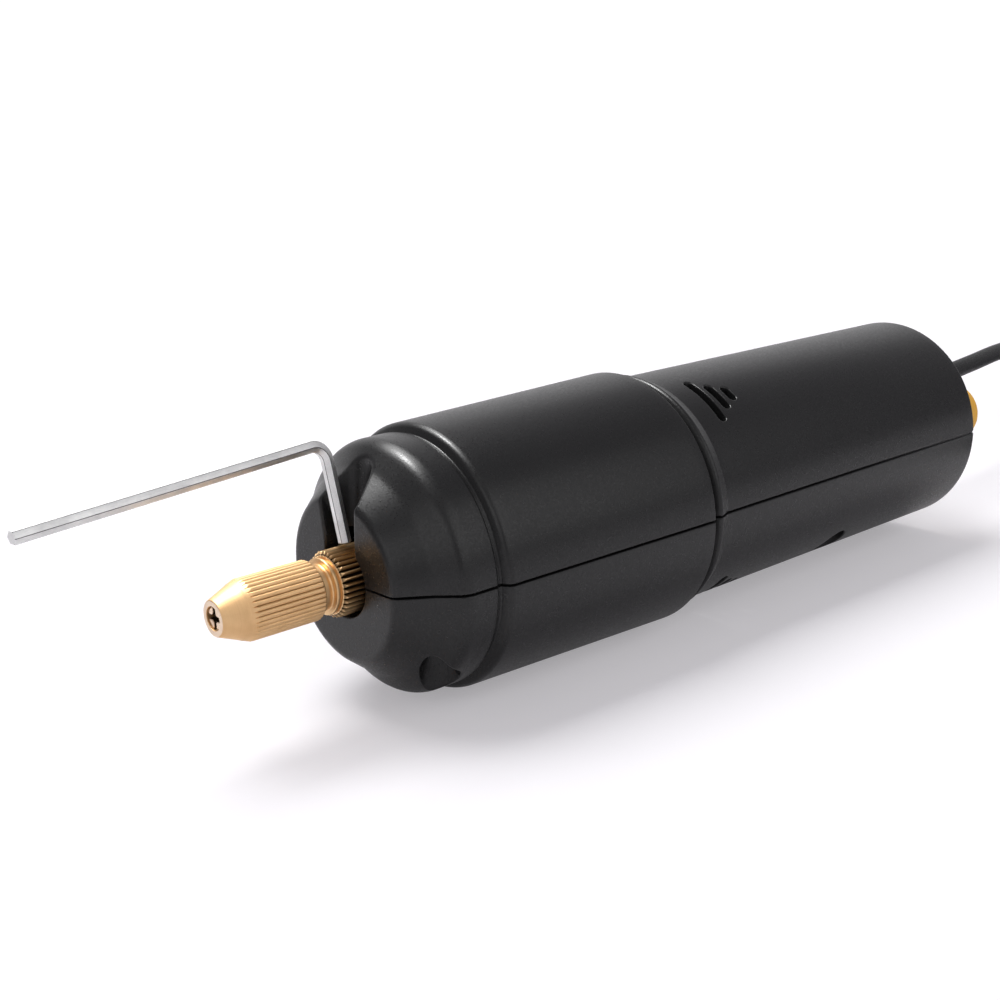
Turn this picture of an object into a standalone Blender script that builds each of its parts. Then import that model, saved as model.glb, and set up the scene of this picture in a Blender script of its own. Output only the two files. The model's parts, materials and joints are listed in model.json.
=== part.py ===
"""Mini electric drill with a collet chuck, a hexagon key, a push switch and a lead.

The drill lies along X with its chuck towards -X, and rests on its barrel. Stations along the
drill are measured from the chuck's front face towards the rear, and radii from the drill's axis.
"""

import math

import bmesh
import bpy
from mathutils import Euler, Matrix, Vector

MM = 0.001

# Fits
CLEARANCE = 0.3 * MM
SEAM_GAP = 0.3 * MM
OVERRUN = 1.0 * MM
MERGE_DISTANCE = 0.005 * MM

# Collet nut
NUT_FACE_RADIUS = 2.3 * MM
NUT_RADIUS = 4.0 * MM
NUT_NOSE_LENGTH = 4.2 * MM
NUT_KNURL_LENGTH = 9.9 * MM
NUT_CHAMFER = 0.35 * MM
KNURL_DEPTH = 0.2 * MM
NUT_TEETH = 36
TOOTH_SHARES = (0.0, 0.5)

# Collet
COLLET_RADIUS = 2.0 * MM
COLLET_TIP_RADIUS = 1.35 * MM
COLLET_TAPER_LENGTH = 1.9 * MM
COLLET_LENGTH = 9.0 * MM
COLLET_BORE_RADIUS = 0.6 * MM
COLLET_SLIT_WIDTH = 0.34 * MM
COLLET_SLIT_LENGTH = 6.4 * MM
COLLET_RECESS = 0.2 * MM

# Chuck body
NECK_LENGTH = 2.3 * MM
NECK_RADIUS = 3.2 * MM
COLLAR_RADIUS = 4.4 * MM
COLLAR_LENGTH = 7.6 * MM
COLLAR_CHAMFER = 0.35 * MM
COLLAR_TOOTH_DEPTH = 0.45 * MM
COLLAR_TEETH = 34
FLANGE_RADIUS = 3.75 * MM
FLANGE_LENGTH = 0.6 * MM
SET_SCREW_INSET = 3.45 * MM
SET_SCREW_RADIUS = 1.3 * MM
SET_SCREW_SOCKET = 1.55 * MM
SET_SCREW_SOCKET_DEPTH = 1.3 * MM
SET_SCREW_SUNK = 0.4 * MM

# Motor
MOTOR_RADIUS = 13.85 * MM
MOTOR_LENGTH = 38.0 * MM
MOTOR_WALL = 1.2 * MM
MOTOR_BOSS_RADIUS = 5.0 * MM
MOTOR_BOSS_LENGTH = 2.0 * MM
MOTOR_FLAT_ACROSS = 24.4 * MM
END_CAP_LENGTH = 6.0 * MM
SHAFT_RADIUS = 1.15 * MM
SHAFT_IN_COLLAR = 5.6 * MM
SHAFT_REAR_STUB = 1.4 * MM
BUSH_RADIUS = 3.0 * MM
BUSH_LENGTH = 3.4 * MM
MAGNET_THICKNESS = 3.2 * MM
MAGNET_OVERHANG = 3.0 * MM
MAGNET_SPAN_DEG = 118.0
AIR_GAP = 0.5 * MM
POLE_SPAN_DEG = 96.0
POLE_TIP_THICKNESS = 1.5 * MM
POLE_STEM_WIDTH = 2.2 * MM
HUB_RADIUS = 2.2 * MM
WINDING_OVERHANG = 1.8 * MM
WINDING_WIDTH = 5.4 * MM
COMMUTATOR_RADIUS = 2.6 * MM
COMMUTATOR_LENGTH = 5.0 * MM
COMMUTATOR_TO_CAP = 2.2 * MM
BRUSH_LENGTH = 3.2 * MM
BRUSH_WIDTH = 2.2 * MM
TERMINAL_SPREAD = 8.0 * MM
TERMINAL_WIDTH = 2.4 * MM
TERMINAL_THICKNESS = 0.5 * MM
TERMINAL_LENGTH = 5.0 * MM

# Housing, outside
COLLAR_SHOWING = 2.5 * MM
NOSE_HOLE_GAP = 0.5 * MM
FACE_CORNER_RADIUS = 10.9 * MM
FACE_ROUND = 1.6 * MM
CHEEK_SLOPE_DEG = 38.0
NECK_DEPTH = 4.1 * MM
NECK_ROUND = 3.0 * MM
BROW_SLOPE_DEG = 48.5
BAND_ROUND = 2.8 * MM
NOSE_DEPTH = 14.1 * MM
GROOVE_BEFORE_MOTOR = 2.5 * MM
GROOVE_WIDTH = 1.2 * MM
GROOVE_DEPTH = 0.8 * MM
GROOVE_SLANT = 0.25 * MM
BAND_STEP = 1.05 * MM
SHOULDER_ROUND = 1.6 * MM
MOTOR_TO_WALL = 2.35 * MM
WALL = 2.05 * MM
BARREL_FLARE = 0.7 * MM
RIM_BEFORE_MOTOR_END = 1.6 * MM
RIM_STEP = 1.5 * MM
CHANNEL_DEPTH = 0.45 * MM
CHANNEL_WIDTH = 1.5 * MM
BEAD_HEIGHT = 0.95 * MM
BEAD_RISE = 0.5 * MM
BEAD_WIDTH = 2.7 * MM
BEAD_ROUND = 0.6 * MM
HANDLE_LENGTH = 66.0 * MM
HANDLE_TAPER = 0.35 * MM
RIM_ROUND = 0.2 * MM
SMALL_ROUND = 0.4 * MM
REAR_ROUND = 0.3 * MM

# Housing, key slot, vents and screws
SLOT_HALF_WIDTH = 3.2 * MM
SLOT_BACK_DEPTH = 5.6 * MM
SLOT_WALL = 1.5 * MM
VENT_FROM_MOTOR = 7.5 * MM
VENT_PITCH = 2.45 * MM
VENT_WIDTH = 1.2 * MM
VENT_LENGTHS = (9.0 * MM, 4.9 * MM, 2.5 * MM)
VENT_ANGLE_DEG = 58.0
PILLAR_RADIUS = 3.7 * MM
PILLAR_SPREAD = 10.5 * MM
FRONT_PILLAR_DEPTH = 6.9 * MM
REAR_PILLAR_FROM_END = 31.0 * MM
SCREW_HEAD_RADIUS = 2.0 * MM
SCREW_HEAD_HEIGHT = 1.4 * MM
SCREW_RADIUS = 1.1 * MM
SCREW_LENGTH = 11.0 * MM
SCREW_SEAT_DEPTH = 6.0 * MM
COUNTERBORE_RADIUS = 2.65 * MM
CROSS_WIDTH = 0.6 * MM
CROSS_DEPTH = 0.8 * MM
CROSS_ARM_SHARE = 0.6

# Housing, inside
NOSE_WALL = 2.0 * MM
BULKHEAD_THICKNESS = 2.3 * MM
SADDLE_WIDTH = 2.0 * MM
SADDLE_SHARES = (0.13, 0.52, 0.9)
STOP_RING_WIDTH = 1.7 * MM
STOP_RING_DEPTH = 3.2 * MM
RIB_WIDTH = 1.6 * MM
RIB_DEPTH = 1.8 * MM
HANDLE_RIB_SHARES = (0.27, 0.43)
REAR_WALL = 2.0 * MM
CRADLE_THICKNESS = 1.6 * MM

# Switch and button
BUTTON_RADIUS = 4.8 * MM
BUTTON_PROUD = 5.0 * MM
BUTTON_DOME = 1.4 * MM
BUTTON_CROWN = 0.35 * MM
BUTTON_TRAVEL = 2.0 * MM
BUTTON_OFFSET = 9.6 * MM
BUTTON_HEIGHT = 1.6 * MM
SWITCH_SIZE = 8.5 * MM
SWITCH_LENGTH = 12.0 * MM
PLUNGER_RADIUS = 1.5 * MM
PLUNGER_DEPTH = 6.0 * MM
BUTTON_SOCKET_DEPTH = 3.0 * MM
SWITCH_PIN = 0.8 * MM
SWITCH_PIN_LENGTH = 3.0 * MM
SWITCH_PIN_SPREAD = 2.1 * MM

# Lead and strain relief
CORD_DIAMETER = 3.3 * MM
CORD_POINT_SPACING = 8.0 * MM
CORD_LENGTH = 1000.0 * MM
CORD_OFFSET = 6.8 * MM
CORD_HEIGHT = 2.0 * MM
RELIEF_RADIUS = 3.0 * MM
RELIEF_TIP_RADIUS = 2.15 * MM
RELIEF_LENGTH = 13.0 * MM
RELIEF_FLANGE_RADIUS = 4.4 * MM
RELIEF_FLANGE_LENGTH = 1.6 * MM
RELIEF_INSIDE = 5.6 * MM
RELIEF_RIB_DEPTH = 0.4 * MM
RELIEF_RIBS = 4
RELIEF_RIB_SHARES = (0.6, 0.7, 0.9, 1.0)
WIRE_RADIUS = 0.6 * MM
WIRE_POINT_SPACING = 3.6 * MM

# The wires' routes inside the handle: station, place across and height from the axis. Stations are
# counted forward from the rear face beside the switch, and rearward from the motor beside its end.
RETURN_FROM_REAR = (
    (13.0 * MM, 6.7 * MM, 1.1 * MM),
    (23.0 * MM, 5.4 * MM, -0.6 * MM),
    (31.0 * MM, 4.8 * MM, -1.8 * MM),
)
RETURN_FROM_MOTOR = (
    (19.0 * MM, 6.6 * MM, -1.6 * MM),
    (9.0 * MM, 8.0 * MM, 0.0 * MM),
)
SUPPLY_FROM_REAR = (
    (12.0 * MM, 6.7 * MM, 2.8 * MM),
    (19.5 * MM, 3.6 * MM, 2.9 * MM),
    (23.8 * MM, -1.4 * MM, 2.8 * MM),
    (24.2 * MM, -5.4 * MM, 2.2 * MM),
    (22.6 * MM, -7.3 * MM, 1.7 * MM),
)
SWITCHED_FROM_REAR = (
    (22.5 * MM, -11.4 * MM, 1.4 * MM),
    (26.8 * MM, -6.8 * MM, -0.4 * MM),
    (31.0 * MM, -4.9 * MM, -1.4 * MM),
)
SWITCHED_FROM_MOTOR = (
    (19.0 * MM, -6.6 * MM, -1.4 * MM),
    (9.0 * MM, -8.0 * MM, 0.0 * MM),
)

# The route of the free lead: distance behind the rear face, place across and height from the floor.
CORD_ROUTE = (
    (27.7 * MM, 6.9 * MM, 21.6 * MM),
    (39.7 * MM, 8.1 * MM, 22.0 * MM),
    (53.1 * MM, 10.2 * MM, 22.05 * MM),
    (67.7 * MM, 12.6 * MM, 20.9 * MM),
    (79.7 * MM, 14.0 * MM, 17.8 * MM),
    (89.7 * MM, 14.6 * MM, 14.6 * MM),
)
COIL_BEHIND = 97.7 * MM
COIL_ACROSS = 14.6 * MM

# Coil and tie
COIL_TURNS = 7.5
COIL_LAYERS = 4
COIL_PITCH = 3.85 * MM
COIL_POINTS_PER_TURN = 24
HALF_TURN = 0.5
TAIL_LENGTH = 15.0 * MM
TAIL_POINTS = 9
TAIL_FLAT_SHARE = 0.17
TIE_WIDTH = 3.0 * MM
TIE_THICKNESS = 0.9 * MM
TIE_RISE_DEG = (14.0, 52.0)

# Plug
PLUG_WIDTH = 15.0 * MM
PLUG_HEIGHT = 8.0 * MM
PLUG_LENGTH = 21.0 * MM
PLUG_ROUND = 1.6 * MM
PLUG_NECK_LENGTH = 8.0 * MM
PLUG_NECK_RADIUS = 2.9 * MM
SHELL_WIDTH = 12.0 * MM
SHELL_HEIGHT = 4.5 * MM
SHELL_LENGTH = 18.75 * MM
SHELL_SEAT = 3.0 * MM
SHELL_WALL = 0.35 * MM
TONGUE_THICKNESS = 1.6 * MM

# Hexagon key
KEY_ACROSS_FLATS = 1.5 * MM
KEY_SHORT = 14.0 * MM
KEY_LONG = 45.0 * MM
KEY_BEND = 2.4 * MM
KEY_ABOVE_COLLAR = 0.45 * MM
KEY_LEAN_DEG = -10.0
KEY_DIP_DEG = -1.4
KEY_SWING_DEG = 7.7

# Facets
ROUND_REACH_SHARE = 0.49
HOUSING_STEPS = 36
ROUND_STEPS = 24
SMALL_STEPS = 16

# Stations from the chuck's front face
nut_rear = NUT_NOSE_LENGTH + NUT_KNURL_LENGTH
collar_front = nut_rear + NECK_LENGTH
collar_rear = collar_front + COLLAR_LENGTH
face = collar_front + COLLAR_SHOWING
set_screw_station = collar_front + SET_SCREW_INSET
motor_front = face + NOSE_DEPTH
motor_rear = motor_front + MOTOR_LENGTH
barrel_end = motor_rear - RIM_BEFORE_MOTOR_END
rear_face = motor_rear + HANDLE_LENGTH
groove = motor_front - GROOVE_BEFORE_MOTOR

# The armature takes the length that the bushes, windings, commutator and end cap leave it
before_core = MOTOR_WALL + BUSH_LENGTH + WINDING_OVERHANG
behind_core = WINDING_OVERHANG + 2 * CLEARANCE + COMMUTATOR_LENGTH + COMMUTATOR_TO_CAP
armature_length = MOTOR_LENGTH - before_core - behind_core - END_CAP_LENGTH
magnet_length = armature_length + 2 * MAGNET_OVERHANG

# Radii of the housing
barrel_front_radius = MOTOR_RADIUS + MOTOR_TO_WALL + WALL
barrel_rear_radius = barrel_front_radius + BARREL_FLARE
band_radius = barrel_front_radius - BAND_STEP
handle_front_radius = barrel_rear_radius - RIM_STEP
handle_rear_radius = handle_front_radius - HANDLE_TAPER
nose_hole_radius = COLLAR_RADIUS + NOSE_HOLE_GAP
key_radius = KEY_ACROSS_FLATS / (2 * math.cos(math.radians(30)))

# The key's turn from standing upright with its long arm forward
key_turn = Euler(
    (math.radians(KEY_LEAN_DEG), math.radians(KEY_DIP_DEG), math.radians(KEY_SWING_DEG))
).to_matrix()
key_arm_end = key_turn @ Vector((-KEY_LONG + key_radius, 0, KEY_SHORT - key_radius))
key_end_reach = key_turn @ Vector((0, 0, key_radius))

# The frame: the origin is under the middle of the drill, on the surface it rests on
front_most = set_screw_station + key_arm_end.x - abs(key_end_reach.x)
rear_most = rear_face + BUTTON_PROUD
middle = (front_most + rear_most) / 2
AXIS_PLACE = Vector((-middle, 0, barrel_rear_radius))


def clear_scene():
    for obj in list(bpy.data.objects):
        bpy.data.objects.remove(obj, do_unlink=True)


def new_collection(name):
    made = bpy.data.collections.new(name)
    bpy.context.scene.collection.children.link(made)
    return made


def new_material(name, colour, roughness, metallic=0.0):
    made = bpy.data.materials.new(name)
    made.use_nodes = True
    shader = made.node_tree.nodes["Principled BSDF"]
    shader.inputs["Base Color"].default_value = (*colour, 1.0)
    shader.inputs["Roughness"].default_value = roughness
    shader.inputs["Metallic"].default_value = metallic
    return made


def place(obj, collection, material=None):
    """Puts an object in the parts' or the cutters' collection."""
    for owner in list(obj.users_collection):
        owner.objects.unlink(obj)
    collection.objects.link(obj)
    if material:
        obj.data.materials.clear()
        obj.data.materials.append(material)
    if collection is cutters:
        obj.hide_render = True
        obj.display_type = "WIRE"
    return obj


def smooth(obj, angle_deg=35.0):
    obj.data.shade_smooth()
    obj.data.set_sharp_from_angle(angle=math.radians(angle_deg))


def boolean(target, other, operation="DIFFERENCE"):
    made = target.modifiers.new(f"{operation.lower()} {other.name}", "BOOLEAN")
    made.operation = operation
    made.object = other
    made.solver = "EXACT"
    return made


def rounded(corners):
    """The outline through (station, radius, round) corners, each round an arc that meets both sides."""
    points = []
    last = len(corners) - 1
    for i, (x, r, fillet) in enumerate(corners):
        here = Vector((x, r))
        if i in (0, last) or fillet == 0:
            points.append(here)
            continue
        back = Vector(corners[i - 1][:2]) - here
        on = Vector(corners[i + 1][:2]) - here
        half = back.angle(on) / 2
        most = ROUND_REACH_SHARE * min(back.length, on.length)
        reach = min(fillet / math.tan(half), most)
        radius = reach * math.tan(half)
        centre = here + (back.normalized() + on.normalized()).normalized() * (
            radius / math.sin(half)
        )
        start = here + back.normalized() * reach - centre
        end = here + on.normalized() * reach - centre
        sweep = start.angle_signed(end)
        pieces = 3 if fillet > SMALL_ROUND else 2
        for k in range(pieces + 1):
            turn = Matrix.Rotation(-sweep * k / pieces, 2)
            points.append(centre + turn @ start)
    return [(p.x, p.y) for p in points]


def turned(name, outline, steps, collection, material=None, centre=(0.0, 0.0), closed=False):
    """A solid of revolution round X: the outline's (station, radius) points run front to rear.

    An outline that is open begins and ends on the axis; a closed one is the section of a ring,
    with its outer side first.
    """
    mesh = bpy.data.meshes.new(name)
    shape = bmesh.new()
    verts = [shape.verts.new((r, 0, x)) for x, r in reversed(outline)]
    for a, b in zip(verts, verts[1:]):
        shape.edges.new((a, b))
    if closed:
        shape.edges.new((verts[-1], verts[0]))
    shape.to_mesh(mesh)
    shape.free()
    obj = bpy.data.objects.new(name, mesh)
    obj.location = AXIS_PLACE + Vector((0, *centre))
    obj.rotation_euler = (0, math.radians(90), 0)
    screw = obj.modifiers.new("turn", "SCREW")
    screw.axis = "Z"
    screw.angle = math.tau
    screw.steps = steps
    screw.render_steps = steps
    screw.use_merge_vertices = True
    screw.merge_threshold = MERGE_DISTANCE
    screw.use_smooth_shade = True
    return place(obj, collection, material)


def sleeve(name, front, rear, radius, bore, steps, collection, material=None, centre=(0.0, 0.0)):
    """A plain tube between two stations."""
    ring = [(front, radius), (rear, radius), (rear, bore), (front, bore)]
    return turned(name, ring, steps, collection, material, centre, closed=True)


def rod(name, front, rear, radius, steps, collection, material=None, centre=(0.0, 0.0)):
    """A plain round bar between two stations."""
    outline = [(front, 0), (front, radius), (rear, radius), (rear, 0)]
    return turned(name, outline, steps, collection, material, centre)


def block(name, low, high, collection, material=None, bevel=0.0):
    """A box between two corners, whose X is a station and whose Y and Z start at the axis."""
    bpy.ops.mesh.primitive_cube_add(size=1.0)
    obj = bpy.context.object
    obj.name = name
    low, high = Vector(low), Vector(high)
    obj.location = AXIS_PLACE + (low + high) / 2
    for vertex in obj.data.vertices:
        vertex.co = Vector(vertex.co) * (high - low)
    if bevel:
        edge = obj.modifiers.new("round", "BEVEL")
        edge.width = bevel
        edge.segments = 2
    return place(obj, collection, material)


def upright(name, station, y, low, high, radius, steps, collection, material=None):
    """A cylinder that stands up from low to high."""
    bpy.ops.mesh.primitive_cylinder_add(vertices=steps, radius=radius, depth=high - low)
    obj = bpy.context.object
    obj.name = name
    obj.location = AXIS_PLACE + Vector((station, y, (low + high) / 2))
    return place(obj, collection, material)


def mesh_of_curve(curve_obj):
    """The curve's solid as a mesh object in the same place, with its caps joined on."""
    bpy.context.scene.collection.objects.link(curve_obj)
    bpy.context.view_layer.update()
    graph = bpy.context.evaluated_depsgraph_get()
    mesh = bpy.data.meshes.new_from_object(curve_obj.evaluated_get(graph))
    shape = bmesh.new()
    shape.from_mesh(mesh)
    bmesh.ops.remove_doubles(shape, verts=shape.verts, dist=MERGE_DISTANCE)
    shape.to_mesh(mesh)
    shape.free()
    obj = bpy.data.objects.new(curve_obj.name + "_solid", mesh)
    obj.matrix_world = curve_obj.matrix_world
    name = curve_obj.name
    bpy.data.objects.remove(curve_obj, do_unlink=True)
    obj.name = name
    bpy.context.scene.collection.objects.link(obj)
    return obj


def plate(name, outlines, thickness, collection, material=None):
    """A flat outline, with any holes, given its thickness either side of local Z 0."""
    curve = bpy.data.curves.new(name, "CURVE")
    curve.dimensions = "2D"
    curve.fill_mode = "BOTH"
    curve.extrude = thickness / 2
    for points in outlines:
        spline = curve.splines.new("POLY")
        spline.points.add(len(points) - 1)
        for point, (x, y) in zip(spline.points, points):
            point.co = (x, y, 0, 1)
        spline.use_cyclic_u = True
    obj = mesh_of_curve(bpy.data.objects.new(name, curve))
    return place(obj, collection, material)


def across_axis(obj, station, centre=(0.0, 0.0)):
    """Turns a plate's flat sides to face along X and centres it on a station."""
    obj.rotation_euler = (0, math.radians(90), 0)
    obj.location = AXIS_PLACE + Vector((station, *centre))
    return obj


def circle(radius, steps, start=0.0):
    angles = (start + math.tau * k / steps for k in range(steps))
    return [(radius * math.cos(a), radius * math.sin(a)) for a in angles]


def teeth(radius, count, shares, drops):
    """A toothed outline: each tooth has a point at every share of its pitch, dropped by its depth."""
    points = []
    for k in range(count):
        for share, drop in zip(shares, drops):
            angle = math.tau * (k + share) / count
            points.append(((radius - drop) * math.cos(angle), (radius - drop) * math.sin(angle)))
    return points


def tube(name, points, radius, sides_step, collection, material):
    """A round cord or wire along world points."""
    curve = bpy.data.curves.new(name, "CURVE")
    curve.dimensions = "3D"
    curve.bevel_depth = radius
    curve.bevel_resolution = sides_step
    curve.use_fill_caps = True
    spline = curve.splines.new("POLY")
    spline.points.add(len(points) - 1)
    for point, co in zip(spline.points, points):
        point.co = (*co, 1)
    return place(bpy.data.objects.new(name, curve), collection, material)


def smooth_run(route, spacing):
    """Points about a spacing apart on the Catmull-Rom curve through a route."""
    route = [Vector(p) for p in route]
    ends = [2 * route[0] - route[1], *route, 2 * route[-1] - route[-2]]
    points = []
    for a, b, c, d in zip(ends, ends[1:], ends[2:], ends[3:]):
        count = max(2, round((c - b).length / spacing))
        for k in range(count):
            t = k / count
            points.append(
                0.5
                * (
                    2 * b
                    + (c - a) * t
                    + (2 * a - 5 * b + 4 * c - d) * t**2
                    + (3 * b - a - 3 * c + d) * t**3
                )
            )
    return [*points, route[-1]]


def run_length(points):
    return sum((Vector(b) - Vector(a)).length for a, b in zip(points, points[1:]))


def outer_body(name):
    """The housing as a solid, before it is hollowed and parted."""
    cheek = math.tan(math.radians(CHEEK_SLOPE_DEG))
    brow = math.tan(math.radians(BROW_SLOPE_DEG))
    neck_radius = FACE_CORNER_RADIUS + NECK_DEPTH * cheek
    band_front = face + NECK_DEPTH + (band_radius - neck_radius) / brow
    groove_bottom = band_radius - GROOVE_DEPTH
    channel_radius = handle_front_radius - CHANNEL_DEPTH
    bead_radius = handle_front_radius + BEAD_HEIGHT
    channel_rear = barrel_end + CHANNEL_WIDTH
    bead_rear = channel_rear + BEAD_WIDTH
    corners = [
        (face, 0, 0),
        (face, FACE_CORNER_RADIUS, FACE_ROUND),
        (face + NECK_DEPTH, neck_radius, NECK_ROUND),
        (band_front, band_radius, BAND_ROUND),
        (groove, band_radius, 0),
        (groove + GROOVE_SLANT, groove_bottom, 0),
        (groove + GROOVE_WIDTH - GROOVE_SLANT, groove_bottom, 0),
        (groove + GROOVE_WIDTH, barrel_front_radius, SHOULDER_ROUND),
        (barrel_end, barrel_rear_radius, RIM_ROUND),
        (barrel_end, channel_radius, SMALL_ROUND),
        (channel_rear - SMALL_ROUND, channel_radius, SMALL_ROUND),
        (channel_rear + BEAD_RISE, bead_radius, BEAD_ROUND),
        (bead_rear, handle_front_radius, BEAD_ROUND),
        (rear_face, handle_rear_radius, REAR_ROUND),
        (rear_face, 0, 0),
    ]
    return turned(name, rounded(corners), HOUSING_STEPS, parts, plastic)


def rib_steps(station, width, radius, rib_radius):
    """The four corners by which a rib stands into a hollow."""
    near, far = station - width / 2, station + width / 2
    return [(near, radius), (near, rib_radius), (far, rib_radius), (far, radius)]


def hollow():
    """The space inside the housing, with its bulkhead, saddles, stop ring and ribs left standing."""
    nose_front = face + NOSE_WALL
    neck = face + NECK_DEPTH
    bulkhead_rear = motor_front - CLEARANCE
    bulkhead_front = bulkhead_rear - BULKHEAD_THICKNESS
    boss_hole = MOTOR_BOSS_RADIUS + CLEARANCE
    barrel_inside = barrel_front_radius - WALL
    saddle_radius = MOTOR_RADIUS + CLEARANCE
    channel_inside = handle_front_radius - CHANNEL_DEPTH - WALL
    handle_inside = handle_rear_radius - WALL
    stop_front = motor_rear + CLEARANCE
    stop_rear = stop_front + STOP_RING_WIDTH
    nose_inside = band_radius - GROOVE_DEPTH - WALL
    outline = [
        (nose_front, 0),
        (nose_front, FACE_CORNER_RADIUS - WALL),
        (neck, FACE_CORNER_RADIUS + NECK_DEPTH - WALL - WALL),
        (neck + WALL, nose_inside),
        (bulkhead_front, nose_inside),
        (bulkhead_front, boss_hole),
        (bulkhead_rear, boss_hole),
        (bulkhead_rear, barrel_inside),
    ]
    for share in SADDLE_SHARES:
        station = motor_front + share * (barrel_end - WALL - motor_front)
        outline += rib_steps(station, SADDLE_WIDTH, barrel_inside, saddle_radius)
    outline += [
        (barrel_end - WALL, barrel_inside),
        (barrel_end - WALL, channel_inside),
        (stop_front, channel_inside),
        (stop_front, MOTOR_RADIUS - STOP_RING_DEPTH),
        (stop_rear, MOTOR_RADIUS - STOP_RING_DEPTH),
        (stop_rear, handle_inside),
    ]
    for share in HANDLE_RIB_SHARES:
        station = motor_rear + share * HANDLE_LENGTH
        outline += rib_steps(station, RIB_WIDTH, handle_inside, handle_inside - RIB_DEPTH)
    outline += [(rear_face - REAR_WALL, handle_inside), (rear_face - REAR_WALL, 0)]
    return turned("hollow", outline, HOUSING_STEPS, cutters)


def pillar_places():
    front = face + FRONT_PILLAR_DEPTH
    rear = rear_face - REAR_PILLAR_FROM_END
    return {
        "front_near": (front, -PILLAR_SPREAD),
        "front_far": (front, PILLAR_SPREAD),
        "rear_near": (rear, -PILLAR_SPREAD),
        "rear_far": (rear, PILLAR_SPREAD),
    }


def switch_front_station():
    return rear_face - REAR_WALL - BUTTON_SOCKET_DEPTH - SWITCH_LENGTH


def keep_standing(space):
    """Takes the screw pillars, the key slot's walls and the rear cradles out of the hollow."""
    reach = barrel_rear_radius + OVERRUN
    for name, (station, y) in pillar_places().items():
        pillar = upright(
            f"pillar_{name}", station, y, -reach, reach, PILLAR_RADIUS, SMALL_STEPS, cutters
        )
        boolean(space, pillar)
    slot_rear = face + SLOT_BACK_DEPTH + SLOT_WALL
    walls = block(
        "slot_walls",
        (face, -SLOT_HALF_WIDTH - SLOT_WALL, nose_hole_radius + OVERRUN),
        (slot_rear, SLOT_HALF_WIDTH + SLOT_WALL, reach),
        cutters,
    )
    boolean(space, walls)
    switch_front = switch_front_station()
    cradle_ends = (switch_front + CRADLE_THICKNESS, switch_front + SWITCH_LENGTH)
    for name, station in zip(("front", "rear"), cradle_ends):
        cradle = block(
            f"switch_cradle_{name}",
            (station - CRADLE_THICKNESS, -reach, -reach),
            (station, -BUTTON_OFFSET + SWITCH_SIZE / 2 + CRADLE_THICKNESS, reach),
            cutters,
        )
        boolean(space, cradle)
    seat = rear_face - REAR_WALL - RELIEF_FLANGE_LENGTH - CLEARANCE - CLEARANCE
    relief_cradle = block(
        "relief_cradle",
        (seat - CRADLE_THICKNESS, CORD_OFFSET - RELIEF_FLANGE_RADIUS, -reach),
        (seat, CORD_OFFSET + RELIEF_FLANGE_RADIUS, reach),
        cutters,
    )
    boolean(space, relief_cradle)


def slot_cutter():
    """The key slot: open to the front, with a round back, down into the nose hole."""
    back = SLOT_BACK_DEPTH - SLOT_HALF_WIDTH
    floor = nose_hole_radius - SLOT_HALF_WIDTH / 2
    top = band_radius + OVERRUN
    turns = [math.pi / 2 * (1 - k / 8) for k in range(17)]
    outline = [
        (back + SLOT_HALF_WIDTH * math.cos(a), SLOT_HALF_WIDTH * math.sin(a)) for a in turns
    ]
    outline += [(-OVERRUN, -SLOT_HALF_WIDTH), (-OVERRUN, SLOT_HALF_WIDTH)]
    cutter = plate("key_slot", [outline], top - floor, cutters)
    cutter.location = AXIS_PLACE + Vector((face, 0, (floor + top) / 2))
    return cutter


def vent_cutters(side):
    """Three slots in a triangle on the near and the far side, cut straight in towards the axis."""
    made = []
    for flank in (-1, 1):
        for k, length in enumerate(VENT_LENGTHS):
            half = VENT_WIDTH / 2
            run = length / 2 - half
            outline = [
                (half * math.cos(a), run * end + half * math.sin(a))
                for end, start in ((1, 0.0), (-1, math.pi))
                for a in (start + math.pi * i / 6 for i in range(7))
            ]
            name = f"vent_{side}_{flank}_{k}"
            depth = 3 * WALL
            cutter = plate(name, [outline], depth, cutters)
            angle = math.radians(VENT_ANGLE_DEG)
            rise = math.sin(angle) if side == "upper" else -math.sin(angle)
            out = Vector((0, flank * math.cos(angle), rise))
            station = motor_rear + VENT_FROM_MOTOR + k * VENT_PITCH
            along = Vector((1, 0, 0))
            turn = Matrix((along, out.cross(along), out)).transposed()
            cutter.rotation_euler = turn.to_euler()
            cutter.location = AXIS_PLACE + Vector((station, 0, 0)) + out * handle_front_radius
            made.append(cutter)
    return made


def half_space(name, upper):
    reach = barrel_rear_radius + OVERRUN
    gap = SEAM_GAP / 2
    low, high = (gap, reach) if upper else (-reach, -gap)
    return block(
        name, (face - OVERRUN, -reach, low), (rear_face + OVERRUN, reach, high), cutters
    )


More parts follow.
